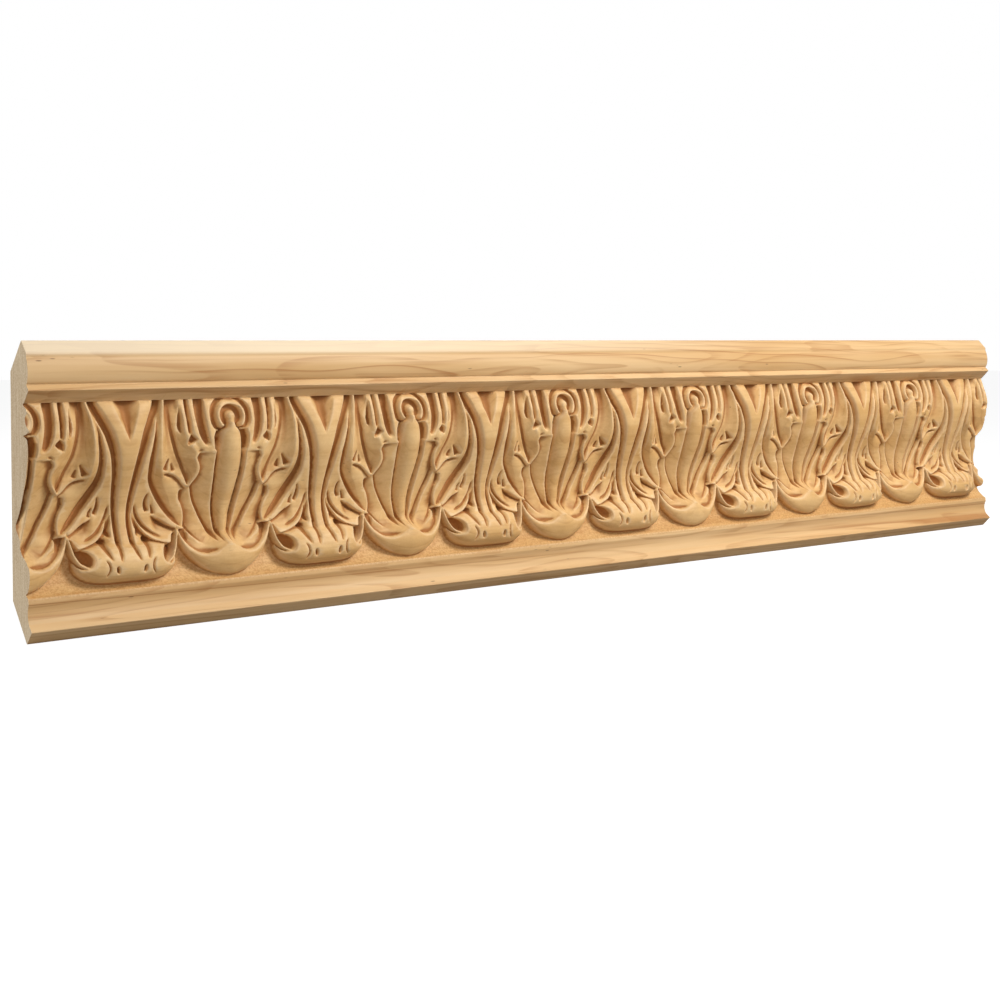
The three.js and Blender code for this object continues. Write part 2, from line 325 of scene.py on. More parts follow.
    @staticmethod
    def along(values: Sequence[float] | float, share: Array) -> Array:
        """A size that changes along a path, by straight pieces between evenly spaced values."""
        sizes = np.atleast_1d(values)
        return np.interp(share, np.linspace(0.0, 1.0, sizes.size), sizes)

    @staticmethod
    def fade(share: Array, ends: Place) -> Array:
        """1 along a path, eased down to 0 at each end.

        Args:
            share: Shares of the way along the path.
            ends: Shares over which it fades in and out.

        Returns:
            The strength there.
        """
        start = ease(share / ends[0]) if ends[0] else 1.0
        stop = ease((1.0 - share) / ends[1]) if ends[1] else 1.0
        return start * stop

    def cut(self, stroke: Stroke) -> None:
        """Gouge a groove, deep * (1 - (distance / width)^2)^power across it.

        Args:
            stroke: Half-widths and depths along the groove.
        """
        window, away, share = self.near(stroke)
        across = hump(away / self.along(stroke.width, share), stroke.power)
        self.depth[window] -= across * self.along(stroke.deep, share) * self.fade(share, stroke.ends)

    def strand(self, stroke: Stroke) -> None:
        """Raise a round strand up to just under the leaves' surface.

        Args:
            stroke: Half-widths along the strand, and how far its crest stays under that surface.
        """
        window, away, share = self.near(stroke)
        across = np.sqrt(hump(away / self.along(stroke.width, share)))
        rise = self.leaf_top[window] - self.along(stroke.deep, share) - self.depth[window]
        self.depth[window] += np.maximum(rise, 0.0) * across * self.fade(share, stroke.ends)

    def ribbon(self, stroke: Stroke) -> None:
        """Raise a thin rounded rim to given depths.

        Args:
            stroke: Half-widths along the rim, and the depths of its crest.
        """
        window, away, share = self.near(stroke)
        across = hump(away / self.along(stroke.width, share), stroke.power)
        rise = self.along(stroke.deep, share) - self.depth[window]
        self.depth[window] += np.maximum(rise, 0.0) * across

    def eye(self, centre: Place, radii: Place, deep: float, tilt: float = 0.0, power: float = 0.6) -> None:
        """Sink an oval eye, (1 - r^2)^power deep.

        Args:
            centre: Across and height, in mm.
            radii: Half-width and half-height before it is tilted.
            deep: Depth at its centre.
            tilt: Turn, in degrees, anticlockwise.
            power: Below 1 gives steep sides.
        """
        c, s = math.cos(math.radians(tilt)), math.sin(math.radians(tilt))
        a = ((self.U - centre[0]) * c + (self.Z - centre[1]) * s) / radii[0]
        b = ((self.Z - centre[1]) * c - (self.U - centre[0]) * s) / radii[1]
        self.depth -= deep * np.clip(1.0 - a * a - b * b, 0.0, 1.0) ** power


@dataclass
class ShellFan:
    """The shell: a round finger between flutes that narrow to a foot in the bowl."""

    arris_sunk: float = 1.2
    second_sunk: float = 1.4
    third_sunk: float = 1.5
    valley_sunk: float = 3.7
    wall_sunk: float = 1.6
    wall: float = 1.0
    third_width: float = 4.0
    foot_sunk: float = 1.6
    foot_rise: float = 9.4
    foot_width: float = 8.0
    skirt_rise: float = 2.9
    reach: Place = (20.6, 9.0)
    surface: Sequence[Place] = ((12, 9.7), (18, 9.3), (25, 9.5), (31, 10.0))
    finger: Sequence[Place] = (
        (1.7, 63.4), (1.8, 62.2), (2.4, 61.0), (3.5, 60.1), (4.3, 59.0), (4.8, 57), (5.3, 52), (5.6, 46),
        (5.2, 40), (4.2, 30), (3.4, 25), (2.3, 20), (1.2, 16))
    second_arris: Sequence[Place] = (
        (16.6, 43), (15.1, 38.7), (13.3, 33), (10.8, 28), (8.2, 23), (5.3, 18), (3.4, 15.5))
    third_arris: Sequence[Place] = (
        (19.0, 28), (17.6, 24.5), (16, 22), (13.7, 19), (10.7, 16.4), (8, 14.8))

    def flute(self, across: Array, start: Array, stop: Array, high: float) -> Array:
        """How deep a flute is sunk: high + (valley - high) * t^1.3 from its arris to the next.

        Args:
            across: Places across.
            start: Where its arris runs.
            stop: Where the next arris runs.
            high: How far its arris is sunk.

        Returns:
            Sunk depths.
        """
        t = np.clip((across - start) / np.maximum(stop - start, 0.4), 0.0, 1.0)
        return high + (self.valley_sunk - high) * t ** 1.3

    def carve(self, f: ReliefField) -> None:
        """Lay the fan: an elliptic finger, then flutes that fall outwards, each from an arris.

        A groove runs beside the finger and each arris. At the foot the fan rises to the bowl's
        lip, by rise * exp(-(u / width)^2.3), and its skirt lifts beside that.

        Args:
            f: The field to carve.
        """
        top = np.where(f.Z < 25, through(self.surface, f.Z), f.leaf_top)
        width = np.maximum(f.line(self.finger), 0.6)
        second, third = f.line(self.second_arris), f.line(self.third_arris)
        full = (self.valley_sunk + self.wall_sunk) * ease((f.Z - 12.5) / 15.0) + 0.4
        finger = full * (1.0 - np.sqrt(hump(f.U / width)))
        first = self.flute(f.U, width + self.wall, second, self.arris_sunk)
        climb = ease((f.U - width) / self.wall)
        sunk = np.where(f.U < width, finger, full * (1.0 - climb) + first * climb)
        for start, stop, high in ((second, third, self.second_sunk),
                                  (third, third + self.third_width, self.third_sunk)):
            turn = past(f.U - start + 0.2, 0.35)
            sunk = sunk * (1.0 - turn) + self.flute(f.U, start, stop, high) * turn
        for edge, wide, deep in ((width + 0.35, 0.8, 1.3), (second - 0.5, 0.9, 1.1), (third - 0.5, 0.8, 0.9)):
            sunk = sunk + deep * hump((f.U - edge) / wide) * ease((f.Z - 15.0) / 6.0)
        calm = ease((f.Z - 14.5) / 5.0)
        sunk = np.where(f.U < width + self.wall, sunk, sunk * calm + self.foot_sunk * (1.0 - calm))
        rise = self.foot_rise * ease((20.4 - f.Z) / 6.9) * np.exp(-((f.U / self.foot_width) ** 2) ** 1.15)
        skirt = self.skirt_rise * ease((f.U - 5.0) / 8.0) * ease((25.5 - f.Z) / 8.0)
        cover = past(f.Z - self.reach[1], 0.2) * past(self.reach[0] - f.U, 0.3)
        f.lay(cover, top - sunk + rise + skirt)


@dataclass
class Leaves:
    """Three leaves laid over the fan's side: outer by the shell, middle, and inner by the stem."""

    ridge_share: float = 0.62
    outer_edge: Sequence[Place] = (
        (13.0, 50.9), (13.7, 49.4), (12.8, 47.2), (12.3, 44.7), (12.9, 42), (14.4, 39.6), (15.8, 38.0),
        (17.4, 37.2), (19.7, 36.2), (19.2, 34.3), (17.7, 31.5), (16.7, 28.5), (16.5, 25.5), (17.4, 22.9),
        (20.6, 21.3))
    outer_crest: Sequence[Place] = (
        (19.5, 71.6), (19.3, 68), (18.5, 61), (17.3, 55.5), (16.0, 50), (15.0, 45.5), (15.4, 41.5),
        (16.2, 38))
    middle_ridge: Sequence[Place] = (
        (24.7, 71.6), (24.6, 66), (24.2, 61), (22.6, 53), (19.6, 46.3), (17.2, 41), (15.9, 37.8))
    middle_root: Sequence[Place] = (
        (24.7, 71.6), (24.6, 66), (24.2, 61), (22.6, 53), (19.6, 46.3), (17.2, 41), (16.2, 37),
        (16.4, 30), (17.2, 24.5), (19.5, 21.5))
    slit: Sequence[Place] = (
        (27.4, 71.6), (28.2, 69), (29.6, 65), (30.5, 61.8), (31.0, 59), (32.1, 53), (32.7, 48),
        (32.0, 41), (28.8, 35), (23.6, 28), (20.7, 25), (17.2, 22.5))
    middle_lobe: Sequence[Place] = (
        (14, 36.6), (16, 37.2), (18, 38.7), (20, 41.1), (22, 42.6), (24.5, 43.1), (28, 43.6))
    lobe_end: Sequence[Place] = (
        (17.0, 22.4), (20.4, 21.4), (22.2, 19.4), (23.0, 17.4), (23.6, 15.6), (24.2, 13.0))
    upper_lobe: Sequence[Place] = (
        (8, 30.5), (10, 29.5), (12.5, 27.9), (14.7, 26.3), (17, 24.8), (20, 23.2), (23, 22.3), (26, 21.8))
    lower_lobe: Sequence[Place] = (
        (3, 33.5), (4.6, 31.5), (5.6, 28), (6.8, 24.6), (8.6, 21.8), (10.8, 20.0), (14, 18.6),
        (18.4, 17.6), (22, 17.6))
    groove: Sequence[Place] = (
        (29.0, 71.6), (29.8, 69.3), (31.7, 66), (33.5, 62), (34.8, 59), (36.7, 52.7), (37.8, 46.7),
        (38.6, 38.7), (39.2, 30.7), (39.4, 25), (39.3, 18.7), (38.8, 13))
    valleys: Sequence[Stroke] = (
        Stroke(((30.6, 61.0), (30.7, 57.4), (31.3, 53), (31.7, 48), (31.0, 41.5), (27.8, 36), (22.8, 29.2),
                (19.0, 25.2)), (0.4, 0.9, 1.3, 1.5, 1.5, 1.3, 1.0, 0.5),
               (0.6, 1.4, 1.8, 2.0, 2.0, 1.8, 1.4, 0.6), (0.1, 0.1), 1.0),
        Stroke(((24.0, 70), (23.6, 62), (21.6, 53), (18.7, 46.3), (16.7, 41)),
               (0.5, 0.8, 0.9, 0.8, 0.5), (0.5, 1.0, 1.4, 1.3, 0.6)))
    notches: Sequence[Stroke] = (
        Stroke(((26.6, 43.2), (24.6, 43.0), (22.3, 42.2)), (0.4, 0.7, 0.5), (0.6, 1.2, 0.8)),
        Stroke(((24.2, 49.4), (25.4, 46.8), (26.2, 44.9)), (0.3, 0.8, 1.4), (0.7, 1.9, 2.5), (0.1, 0.04)),
        Stroke(((23.1, 47.4), (22.5, 45.6), (22.1, 44.3)), (0.3, 0.6, 0.9), (0.7, 1.4, 1.7), (0.1, 0.04)),
        Stroke(((31.6, 36.8), (32.2, 34.6), (32.1, 32.2), (31.2, 29.8)),
               (0.25, 0.6, 0.8, 0.9), (1.0, 2.4, 2.6, 1.8), (0.1, 0.05)),
        Stroke(((30.1, 32.6), (29.3, 30.6), (29.0, 28.8)), (0.25, 0.6, 0.9), (0.8, 1.6, 1.5), (0.1, 0.05)),
        Stroke(((27.9, 27.4), (26.9, 26.0), (24.4, 24.3), (21.0, 22.5)),
               (0.6, 1.0, 0.8, 0.4), (1.0, 1.8, 1.1, 0.5)),
        Stroke(((30.6, 49.0), (29.4, 41.0), (25.6, 34.0), (20.8, 27.6)),
               (1.2, 2.6, 2.4, 1.0), (0.3, 0.9, 0.9, 0.3), (0.25, 0.25), 1.0),
        Stroke(((36.6, 34.0), (36.0, 30.0), (34.6, 26.6), (32.2, 23.6), (29.2, 21.4), (25.6, 20.0)),
               (0.4, 0.7, 0.8, 0.8, 0.7, 0.4), (0.9, 1.7, 2.0, 1.9, 1.5, 0.8)),
        Stroke(((37.4, 30.5), (36.9, 26.8), (35.7, 23.6), (34.2, 21.4)),
               (0.4, 0.6, 0.6, 0.4), (0.8, 1.4, 1.4, 0.9)))
    foot_cut: Stroke = Stroke(((33.4, 21.0), (33.0, 19.2), (33.3, 17.2), (34.2, 14.4)),
                              (1.3, 1.5, 1.0, 0.5), (2.6, 3.0, 2.0, 0.9), (0.08, 0.15), 0.7)

    def carve(self, f: ReliefField) -> None:
        """Lay the three leaves from the outside in, each over the last.

        The outer leaf falls from its crest to both sides. The middle one falls from its ridge:
        hollowed by 4 sin(pi / 2 * way) towards the outer leaf, and by 2.6 way^1.7 towards the
        inner one. That one follows the surface that curls out over the roll, and is slightly
        hollow at its foot.

        Args:
            f: The field to carve.
        """
        edge, ridge = f.line(self.outer_edge), f.line(self.middle_ridge)
        slit, groove = f.line(self.slit), f.line(self.groove)
        crest = f.line(self.outer_crest)
        high = ease((f.Z - 49.0) / 8.0)
        rim = (edge + 1.3) * (1.0 - high) + crest * high
        falls_in = np.clip((rim - f.U) / 2.4, 0.0, 1.0)
        falls_out = np.clip((f.U - rim) / np.maximum(ridge - rim, 0.5), 0.0, 1.0)
        outer = 0.4 + 0.5 * falls_in ** 1.3 + 3.5 * (1.0 - (1.0 - falls_out) ** 1.5)
        start = np.where(f.Z > 51.2, 6.6, edge)
        f.lay(past(f.U - start, 0.2) * past(f.Z - 37.4, 0.2), f.leaf_top - outer)

        start = np.where(f.Z > 37.7, ridge, edge)
        root = f.line(self.middle_root)
        t = np.clip((f.U - root) / np.maximum(slit - root, 1.0), 0.0, 1.0)
        before = np.clip(1.0 - t / self.ridge_share, 0.0, 1.0)
        behind = np.clip((t - self.ridge_share) / (1.0 - self.ridge_share), 0.0, 1.0)
        upper = 0.1 + 4.0 * np.sin(0.5 * np.pi * before) + 2.6 * behind ** 1.7 * ease((71.0 - f.Z) / 9.0)
        lower = 0.7 + 0.3 * np.exp(-t / 0.12) + 2.1 * t ** 1.3
        low = ease((47.0 - f.Z) / 9.0)
        f.lay(past(f.U - start, 0.2) * past(f.Z - 20.8, 0.4), f.leaf_top - upper * (1.0 - low) - lower * low)

        t = np.clip((groove - f.U) / np.maximum(groove - slit, 1.0), 0.0, 1.0)
        inner = 0.05 + 0.9 * np.sin(np.pi * t ** 0.9) * ease((45.0 - f.Z) / 15.0) + 0.5 * t
        foot = np.where(f.Z < 22.3, f.line(self.lobe_end), slit)
        f.lay(past(f.U - foot, 0.2) * past(f.Z - 14.0, 1.5), f.curl - inner)
        self.step_lobes(f)

    def step_lobes(self, f: ReliefField) -> None:
        """Step the inner leaf's foot into two overlapping lobes, the lower one over the roll.

        Below a lobe's edge the surface drops and climbs back along a straight line to the
        next lobe's edge; the drop fades out towards the stem.

        Args:
            f: The field to carve.
        """
        upper, lower = through(self.upper_lobe, f.S), through(self.lower_lobe, f.S)
        t = np.clip((upper - f.Z) / np.maximum(upper - lower, 1.0), 0.0, 1.0)
        drop = 2.3 * ease((f.S - 10.8) / 3.6) * past(upper - f.Z, 0.2) * (1.0 - 0.8 * t)
        f.depth -= drop * (f.S < 26.0) * (f.Z > lower - 0.2)
        under = past(lower - f.Z, 0.2) * ease((f.S - 4.6) / 1.6) * past(20.4 - f.S, 0.4)
        f.depth -= under * 2.4 * np.clip(1.0 - (lower - f.Z) / 7.0, 0.0, 1.0)

    def detail(self, f: ReliefField) -> None:
        """Cut the leaves' valleys, step the middle leaf's lobe, then cut notches, veins and an eye.

        Args:
            f: The field to carve.
        """
        for stroke in self.valleys:
            f.cut(stroke)
        lobe = through(self.middle_lobe, f.U)
        below = np.clip((lobe - f.Z) / 7.0, 0.0, 1.0)
        inside = ease((27.5 - f.U) / 6.0) * past(f.U - 15.6, 0.5) * past(f.U - f.line(self.outer_edge), 0.2)
        f.depth -= 1.7 * past(lobe - f.Z, 0.2) * (1.0 - below) ** 1.5 * inside
        for stroke in self.notches:
            f.cut(stroke)
        f.eye((35.9, 22.6), (0.8, 1.5), 2.6, 10)
        f.cut(self.foot_cut)


@dataclass
class Stem:
    """The stem between two grooves, forking into two arms with a hollow between them."""

    back: float = 2.4
    stands_out: float = 0.25
    fork_heights: Sequence[float] = (56.0, 56.7, 60.0, 65.0, 71.6)
    fork_half_widths: Sequence[float] = (0.05, 0.05, 1.4, 3.5, 5.7)
    fork_depths: Sequence[float] = (0.0, 0.2, 2.0, 3.8, 4.2)
    groove_path: Sequence[Place] = (
        (28.9, 72), (29.5, 69.3), (33.0, 62), (34.3, 59), (36.1, 52.7), (37.2, 46.7), (38.1, 38.7),
        (38.8, 30.7), (39.0, 25), (38.9, 19.5), (38.4, 16.0), (37.6, 13.0))

    def carve(self, f: ReliefField, groove: Sequence[Place]) -> None:
        """Lay the stem's round back, sink the fork's hollow and gouge the groove beside it.

        The back falls as back * (1 - sqrt(1 - (1 - t)^3)) to its edge, and the hollow is
        depth * (1 - (s / half width)^1.6). The groove is a wide cut with a narrow one in it.

        Args:
            f: The field to carve.
            groove: Where the groove beside the stem runs.
        """
        edge = f.line(groove)
        t = np.clip((f.U - edge) / np.maximum(f.half - edge, 0.5), 0.0, 1.0)
        round_back = np.sqrt(np.clip(1.0 - (1.0 - t) ** 3.0, 0.0, 1.0))
        sunk = self.back * (1.0 - round_back) - self.stands_out
        f.lay(past(f.U - edge, 0.2) * past(f.Z - 14.0, 1.5), f.curl - sunk)
        half_width = np.interp(f.Z, self.fork_heights, self.fork_half_widths)
        deep = np.interp(f.Z, self.fork_heights, self.fork_depths)
        f.depth -= deep * np.clip(1.0 - (f.S / half_width) ** 1.6, 0.0, 1.0)
        f.cut(Stroke(self.groove_path, (2.4, 2.4, 2.3, 2.0, 1.7, 1.4, 1.2, 1.1, 0.8),
                     (1.5, 1.6, 1.7, 1.6, 1.4, 1.1, 0.9, 0.7), (0.0, 0.12), 1.0))
        f.cut(Stroke(self.groove_path, (1.6, 1.6, 1.5, 1.3, 1.1, 0.95, 0.8, 0.75, 0.6),
                     (2.2, 2.4, 2.4, 2.4, 2.3, 2.2, 2.0, 1.7), (0.0, 0.08), 0.7))


@dataclass
class Crown:
    """The finger's knob in its rings, and the strands beside them under the top edge."""

    centre: float = 65.2
    outer_radius: float = 8.7
    ring_base: float = 60.2
    shoulder: float = 62.8
    neck_sunk: float = 4.0
    neck_round: float = 3.2
    profile: Sequence[Place] = (
        (0, 0.7), (0.9, 0.9), (1.5, 1.5), (1.9, 2.5), (2.4, 3.9), (3.3, 4.3), (4.0, 3.6), (4.5, 1.7),
        (4.9, 0.8), (5.4, 0.5), (5.9, 0.9), (6.3, 2.2), (6.9, 3.5), (7.6, 3.6), (8.2, 2.4), (8.7, 1.0))
    finger_top: Sequence[Place] = ((1.8, 63.2), (2.0, 62.0), (2.5, 61.0), (3.5, 60.2), (4.4, 59.0))
    channels: Sequence[Stroke] = (
        Stroke(((2.2, 61.9), (3.2, 60.9), (4.6, 60.2), (6.2, 60.2)),
               (0.5, 0.7, 0.8, 0.5), (1.6, 2.4, 2.2, 1.0), (0.1, 0.15)),
        Stroke(((5.4, 59.8), (6.0, 57), (6.1, 54.0), (6.3, 51.8)),
               (1.0, 1.35, 1.2, 0.8), (3.6, 4.6, 4.0, 2.2), (0.04, 0.12), 0.5),
        Stroke(((12.2, 72), (11.9, 64), (10.9, 57), (9.2, 53.4)),
               (2.2, 2.3, 2.0, 1.0), (2.8, 3.2, 3.0, 1.4), (0.0, 0.15), 0.7),
        Stroke(((17.2, 72), (17.1, 66), (16.8, 60.0), (16.4, 57.6)),
               (0.8, 0.9, 0.9, 0.6), (2.8, 3.6, 3.4, 1.4), (0.0, 0.15), 0.6))
    strands: Sequence[Stroke] = (
        Stroke(((8.6, 72), (9.4, 68), (9.4, 63), (8.8, 58.7), (8.0, 54.5), (7.2, 51.6)),
               (1.0, 1.2, 1.2, 1.1, 0.9, 0.5), (0.8, 0.4, 0.3, 0.4, 0.7, 1.2), (0.0, 0.05)),
        Stroke(((14.9, 72), (15.1, 66), (14.7, 61), (13.6, 56.8), (11.3, 53.4), (8.0, 51.7)),
               (1.0, 1.1, 1.25, 1.4, 1.3, 0.8), (0.6, 0.4, 0.2, 0.2, 0.5, 1.2), (0.0, 0.05)),
        Stroke(((19.6, 72), (19.4, 68), (18.7, 63), (18.1, 59), (17.2, 56)),
               (1.3, 1.5, 1.3, 1.0, 0.7), (0.4, 0.2, 0.2, 0.4, 0.8), (0.0, 0.2)))
    slots: Sequence[Stroke] = (
        Stroke(((20.2, 70.0), (20.2, 64.4), (20.3, 61.4), (19.9, 58.6)),
               (0.4, 0.6, 0.85, 0.4), (0.8, 1.8, 3.0, 1.4)),
        Stroke(((14.9, 57.6), (16.2, 56.2), (17.4, 54.2)),
               (1.6, 1.4, 0.4), (3.0, 2.6, 0.8), (0.04, 0.1), 0.6))

    def carve(self, f: ReliefField) -> None:
        """Turn the rings about the knob, leave the neck, then cut channels and lay strands.

        The rings are the profile read at the distance from the knob's centre. The neck is sunk
        by neck_sunk - neck_round * sqrt(1 - (u / half width)^2).

        Args:
            f: The field to carve.
        """
        r = np.hypot(f.U, f.Z - self.centre)
        rings = np.interp(r, *np.array(self.profile, float).T)
        neck_width = 1.75 + 0.4 * ease((63.4 - f.Z) / 1.6)
        neck = self.neck_sunk - self.neck_round * np.sqrt(hump(f.U / neck_width))
        sunk = np.where(f.Z < self.centre, np.minimum(rings, neck), rings)
        beside_finger = np.where(f.Z < self.shoulder, past(f.U - f.line(self.finger_top), 0.15), 1.0)
        cover = past(self.outer_radius - r, 0.15) * past(f.Z - self.ring_base, 0.15) * beside_finger
        f.lay(cover, f.leaf_top - sunk)
        for stroke in self.channels:
            f.cut(stroke)
        for stroke in self.strands:
            f.strand(stroke)
        for stroke in self.slots:
            f.cut(stroke)
        f.eye((12.6, 52.0), (1.4, 0.7), 0.8, -20)


@dataclass
class Roll:
    """The roll at a stem's foot, with curled open ends, crescent cuts and drilled eyes."""

    middle: float = 10.5
    half_length: float = 20.3
    below: float = 6.9
    above: float = 8.8
    base: float = 9.0
    bulge: float = 10.3
    squareness: float = 3.6
    lean: float = 0.30
    mouth: Stroke = Stroke(((21.6, 20.6), (22.2, 18.6), (23.4, 16.4)),
                           (0.4, 0.7, 1.0), (0.8, 1.8, 2.0), (0.1, 0.1))
    rim: Stroke = Stroke(((20.1, 22.0), (20.9, 18.8), (21.8, 15.6), (23.6, 12.5), (26.8, 10.7)),
                         (0.6, 0.8, 0.9, 0.9, 0.5), (11.2, 12.0, 13.2, 14.6, 16.6), power=0.4)
    crescent: Stroke = Stroke(((31.5, 14.2), (32.9, 12.2), (33.1, 9.8), (31.7, 7.2)),
                              (0.3, 0.42, 0.42, 0.3), (0.6, 1.5, 1.5, 0.6))
    grooves: Sequence[Stroke] = (
        Stroke(((38.8, 21.5), (38.9, 18.8), (38.6, 16.0), (37.8, 12.6)),
               (0.8, 0.95, 0.9, 0.35), (1.4, 2.4, 2.2, 0.6), (0.12, 0.1), 0.7),
        Stroke(((32.8, 20.6), (33.0, 18.6), (33.5, 16.4), (34.7, 13.2)),
               (1.1, 1.4, 1.0, 0.35), (1.8, 2.8, 2.0, 0.6), (0.1, 0.1), 0.7))

    def carve(self, f: ReliefField) -> None:
        """Swell the roll as base + bulge * sqrt(1 - q - e), then cut its ends, eyes and grooves.

        q is the squared height from its middle line. e is the place along it to the power of
        its squareness, a little less above the middle line than below.

        Args:
            f: The field to carve.
        """
        up = f.Z - self.middle
        q = np.where(up < 0, (up / self.below) ** 2, (up / self.above) ** 2)
        spread = 1.0 - self.lean * np.clip(up / 9.0, -0.4, 1.0)
        e = np.abs(f.S / self.half_length) ** self.squareness * spread
        full = np.clip(1.0 - q - e, 0.0, 1.0)
        roll = np.where(full > 0.0, self.base + self.bulge * np.sqrt(full), 0.0)
        f.join(roll, 1.0)
        f.eye((25.0, 13.9), (3.4, 3.3), 7.2, -14, 0.55)
        f.cut(self.mouth)
        f.ribbon(self.rim)
        f.cut(self.crescent)
        f.eye((36.3, 9.9), (0.7, 1.5), 2.8, 8)
        for stroke in self.grooves:
            f.cut(stroke)


@dataclass
class Bowl:
    """The bowl that the shell stands in: a crescent lip, thick in the middle, round a basin."""

    centre: float = 23.8
    radius: float = 20.2
    inner: Sequence[Place] = (
        (-12, 0.45), (0, 0.43), (12, 0.45), (22, 0.52), (30, 0.62), (38, 0.71), (47, 0.79), (60, 0.86),
        (75, 0.92), (92, 0.98))
    lip: Sequence[Place] = (
        (-15, 17.7), (0, 18.1), (15, 17.7), (30, 16.6), (44, 15.1), (57, 13.5), (75, 11.6), (92, 10.2))
    outline: Sequence[Place] = ((0, 14.0), (30, 12.4), (44, 11.3), (57, 10.3), (75, 9.3), (92, 8.8))

    def carve(self, f: ReliefField) -> None:
        """Lay the lip in polar form about the bowl's centre: turn from straight down, and radius.

        Across it, from its inner edge (t = 0) to its outline (t = 1), it falls as
        (1 - t^2.4)^0.55. Its inner edge is rounded by a quarter sine.

        Args:
            f: The field to carve.
        """
        down = self.centre - f.Z
        r = np.hypot(f.U, down) / self.radius
        turn = np.degrees(np.arctan2(f.U, down))
        inner, lip, outline = (through(c, turn) for c in (self.inner, self.lip, self.outline))
        t = np.clip((r - inner) / np.maximum(1.0 - inner, 0.02), 0.0, 1.0)
        front = outline + (lip - outline) * (1.0 - t ** 2.4) ** 0.55
        middle = ease((36.0 - turn) / 26.0)
        climb = np.sin(0.5 * np.pi * np.clip((r - inner) / (0.07 + 0.2 * middle), 0.0, 1.0))
        front = front - (0.7 + 0.7 * middle) * (1.0 - climb)
        f.depth = np.where((r <= 1.0) & (r >= inner) & (down > -0.1), front, f.depth)


class Layer(Enum):
    """Fields of the carved band: its depths, and the masks that the finish reads from the mesh."""

    DEPTH = "depth"
    CAVITY = "cavity"
    GROUND = "ground"
    CARVED = "carved"


@dataclass(frozen=True)
class Carving:
    """One repeat of the carved band, sampled: fields of heights by places across."""

    repeat: float
    across: Array
    heights: Array
    fields: dict[Layer, Array]

    def read(self, layer: Layer, u: Array, z: Array) -> Array:
        """Read a field between its samples: the four nearest, weighted by nearness.

        Args:
            layer: Which field.
            u: Places to read, from a shell's axis.
            z: Heights to read.

        Returns:
            The field's values there.
        """
        values, columns = self.fields[layer], len(self.across)
        a = (u % self.repeat) / (self.across[1] - self.across[0])
        b = np.clip((z - self.heights[0]) / (self.heights[1] - self.heights[0]), 0.0,
                    len(self.heights) - 1.001)
        i, j = np.floor(a).astype(int), np.floor(b).astype(int)
        s, t = a - i, b - j
        i0, i1 = i % columns, (i + 1) % columns
        low = values[j, i0] * (1 - s) + values[j, i1] * s
        high = values[j + 1, i0] * (1 - s) + values[j + 1, i1] * s
        return low * (1 - t) + high * t


@dataclass
class CarvedBand:
    """One whole repeat of the carved band, with masks for its finish."""

    repeat: float = 83.5
    step: float = 0.15
    section: Section = field(default_factory=Section)
    fan_reach: Place = (20.8, 21.4)
    roll_from: Place = (20.2, 15.0)
    softness: float = 0.18
    hollow_radii: Sequence[float] = (0.5, 1.0, 2.0, 3.8, 6.5)
    ridge_radius: float = 0.45
    cavity_range: Place = (-1.0, 1.5)
    ground_high: float = 24.0
    ground_match: float = 0.15
    ground_blur: float = 0.3

    def carve(self) -> Carving:
        """Carve half a repeat from the lowest form to the highest and mirror it about the stem.

        The cavity is how far the surface lies below its blurred self, over the blur's radius,
        summed over several radii, less how far it stands above on a sharp ridge.

        Returns:
            The band's depths, cavity and bare ground.
        """
        f = ReliefField(self.repeat / 2.0, self.section, self.step)
        leaves, bowl = Leaves(), Bowl()
        ShellFan().carve(f)
        leaves.carve(f)
        Stem().carve(f, leaves.groove)
        Crown().carve(f)
        leaves.detail(f)
        outside_bowl = np.hypot(f.U, bowl.centre - f.Z) > bowl.radius
        beside_bowl = (f.U > 0) & (f.U < self.fan_reach[0]) & (f.Z < self.fan_reach[1]) & outside_bowl
        under_roll = (f.Z < self.roll_from[1]) & (f.U > self.roll_from[0])
        f.depth = np.where(beside_bowl | under_roll, f.ground, f.depth)
        Roll().carve(f)
        bowl.carve(f)
        exposed = (np.abs(f.depth - f.ground) < self.ground_match) & (f.Z < self.ground_high)

        depth = blurred(mirrored(f.depth), self.softness / self.step)
        # The cavity field drives the finish's painted shade in the hollows and painted highlight on the
        # crests.
        cavity = np.zeros_like(depth)
        for radius in self.hollow_radii:
            cavity += np.clip(blurred(depth, radius / self.step) - depth, 0.0, None) / radius
        above = np.clip(depth - blurred(depth, self.ridge_radius / self.step), 0.0, None)
        ridge = above / self.ridge_radius
        across = np.arange(depth.shape[1]) * (self.repeat / depth.shape[1])
        return Carving(self.repeat, across, f.z, {
            Layer.DEPTH: depth,
            Layer.CAVITY: np.clip(cavity - ridge, *self.cavity_range),
            Layer.GROUND: blurred(mirrored(exposed.astype(float)), self.ground_blur / self.step)})


# Mesh

def quads(grid: Array) -> Array:
    """The four-cornered faces of a grid of vertex indices, all turned the same way."""
    return np.stack([grid[:-1, :-1], grid[:-1, 1:], grid[1:, 1:], grid[1:, :-1]], axis=-1).reshape(-1, 4)


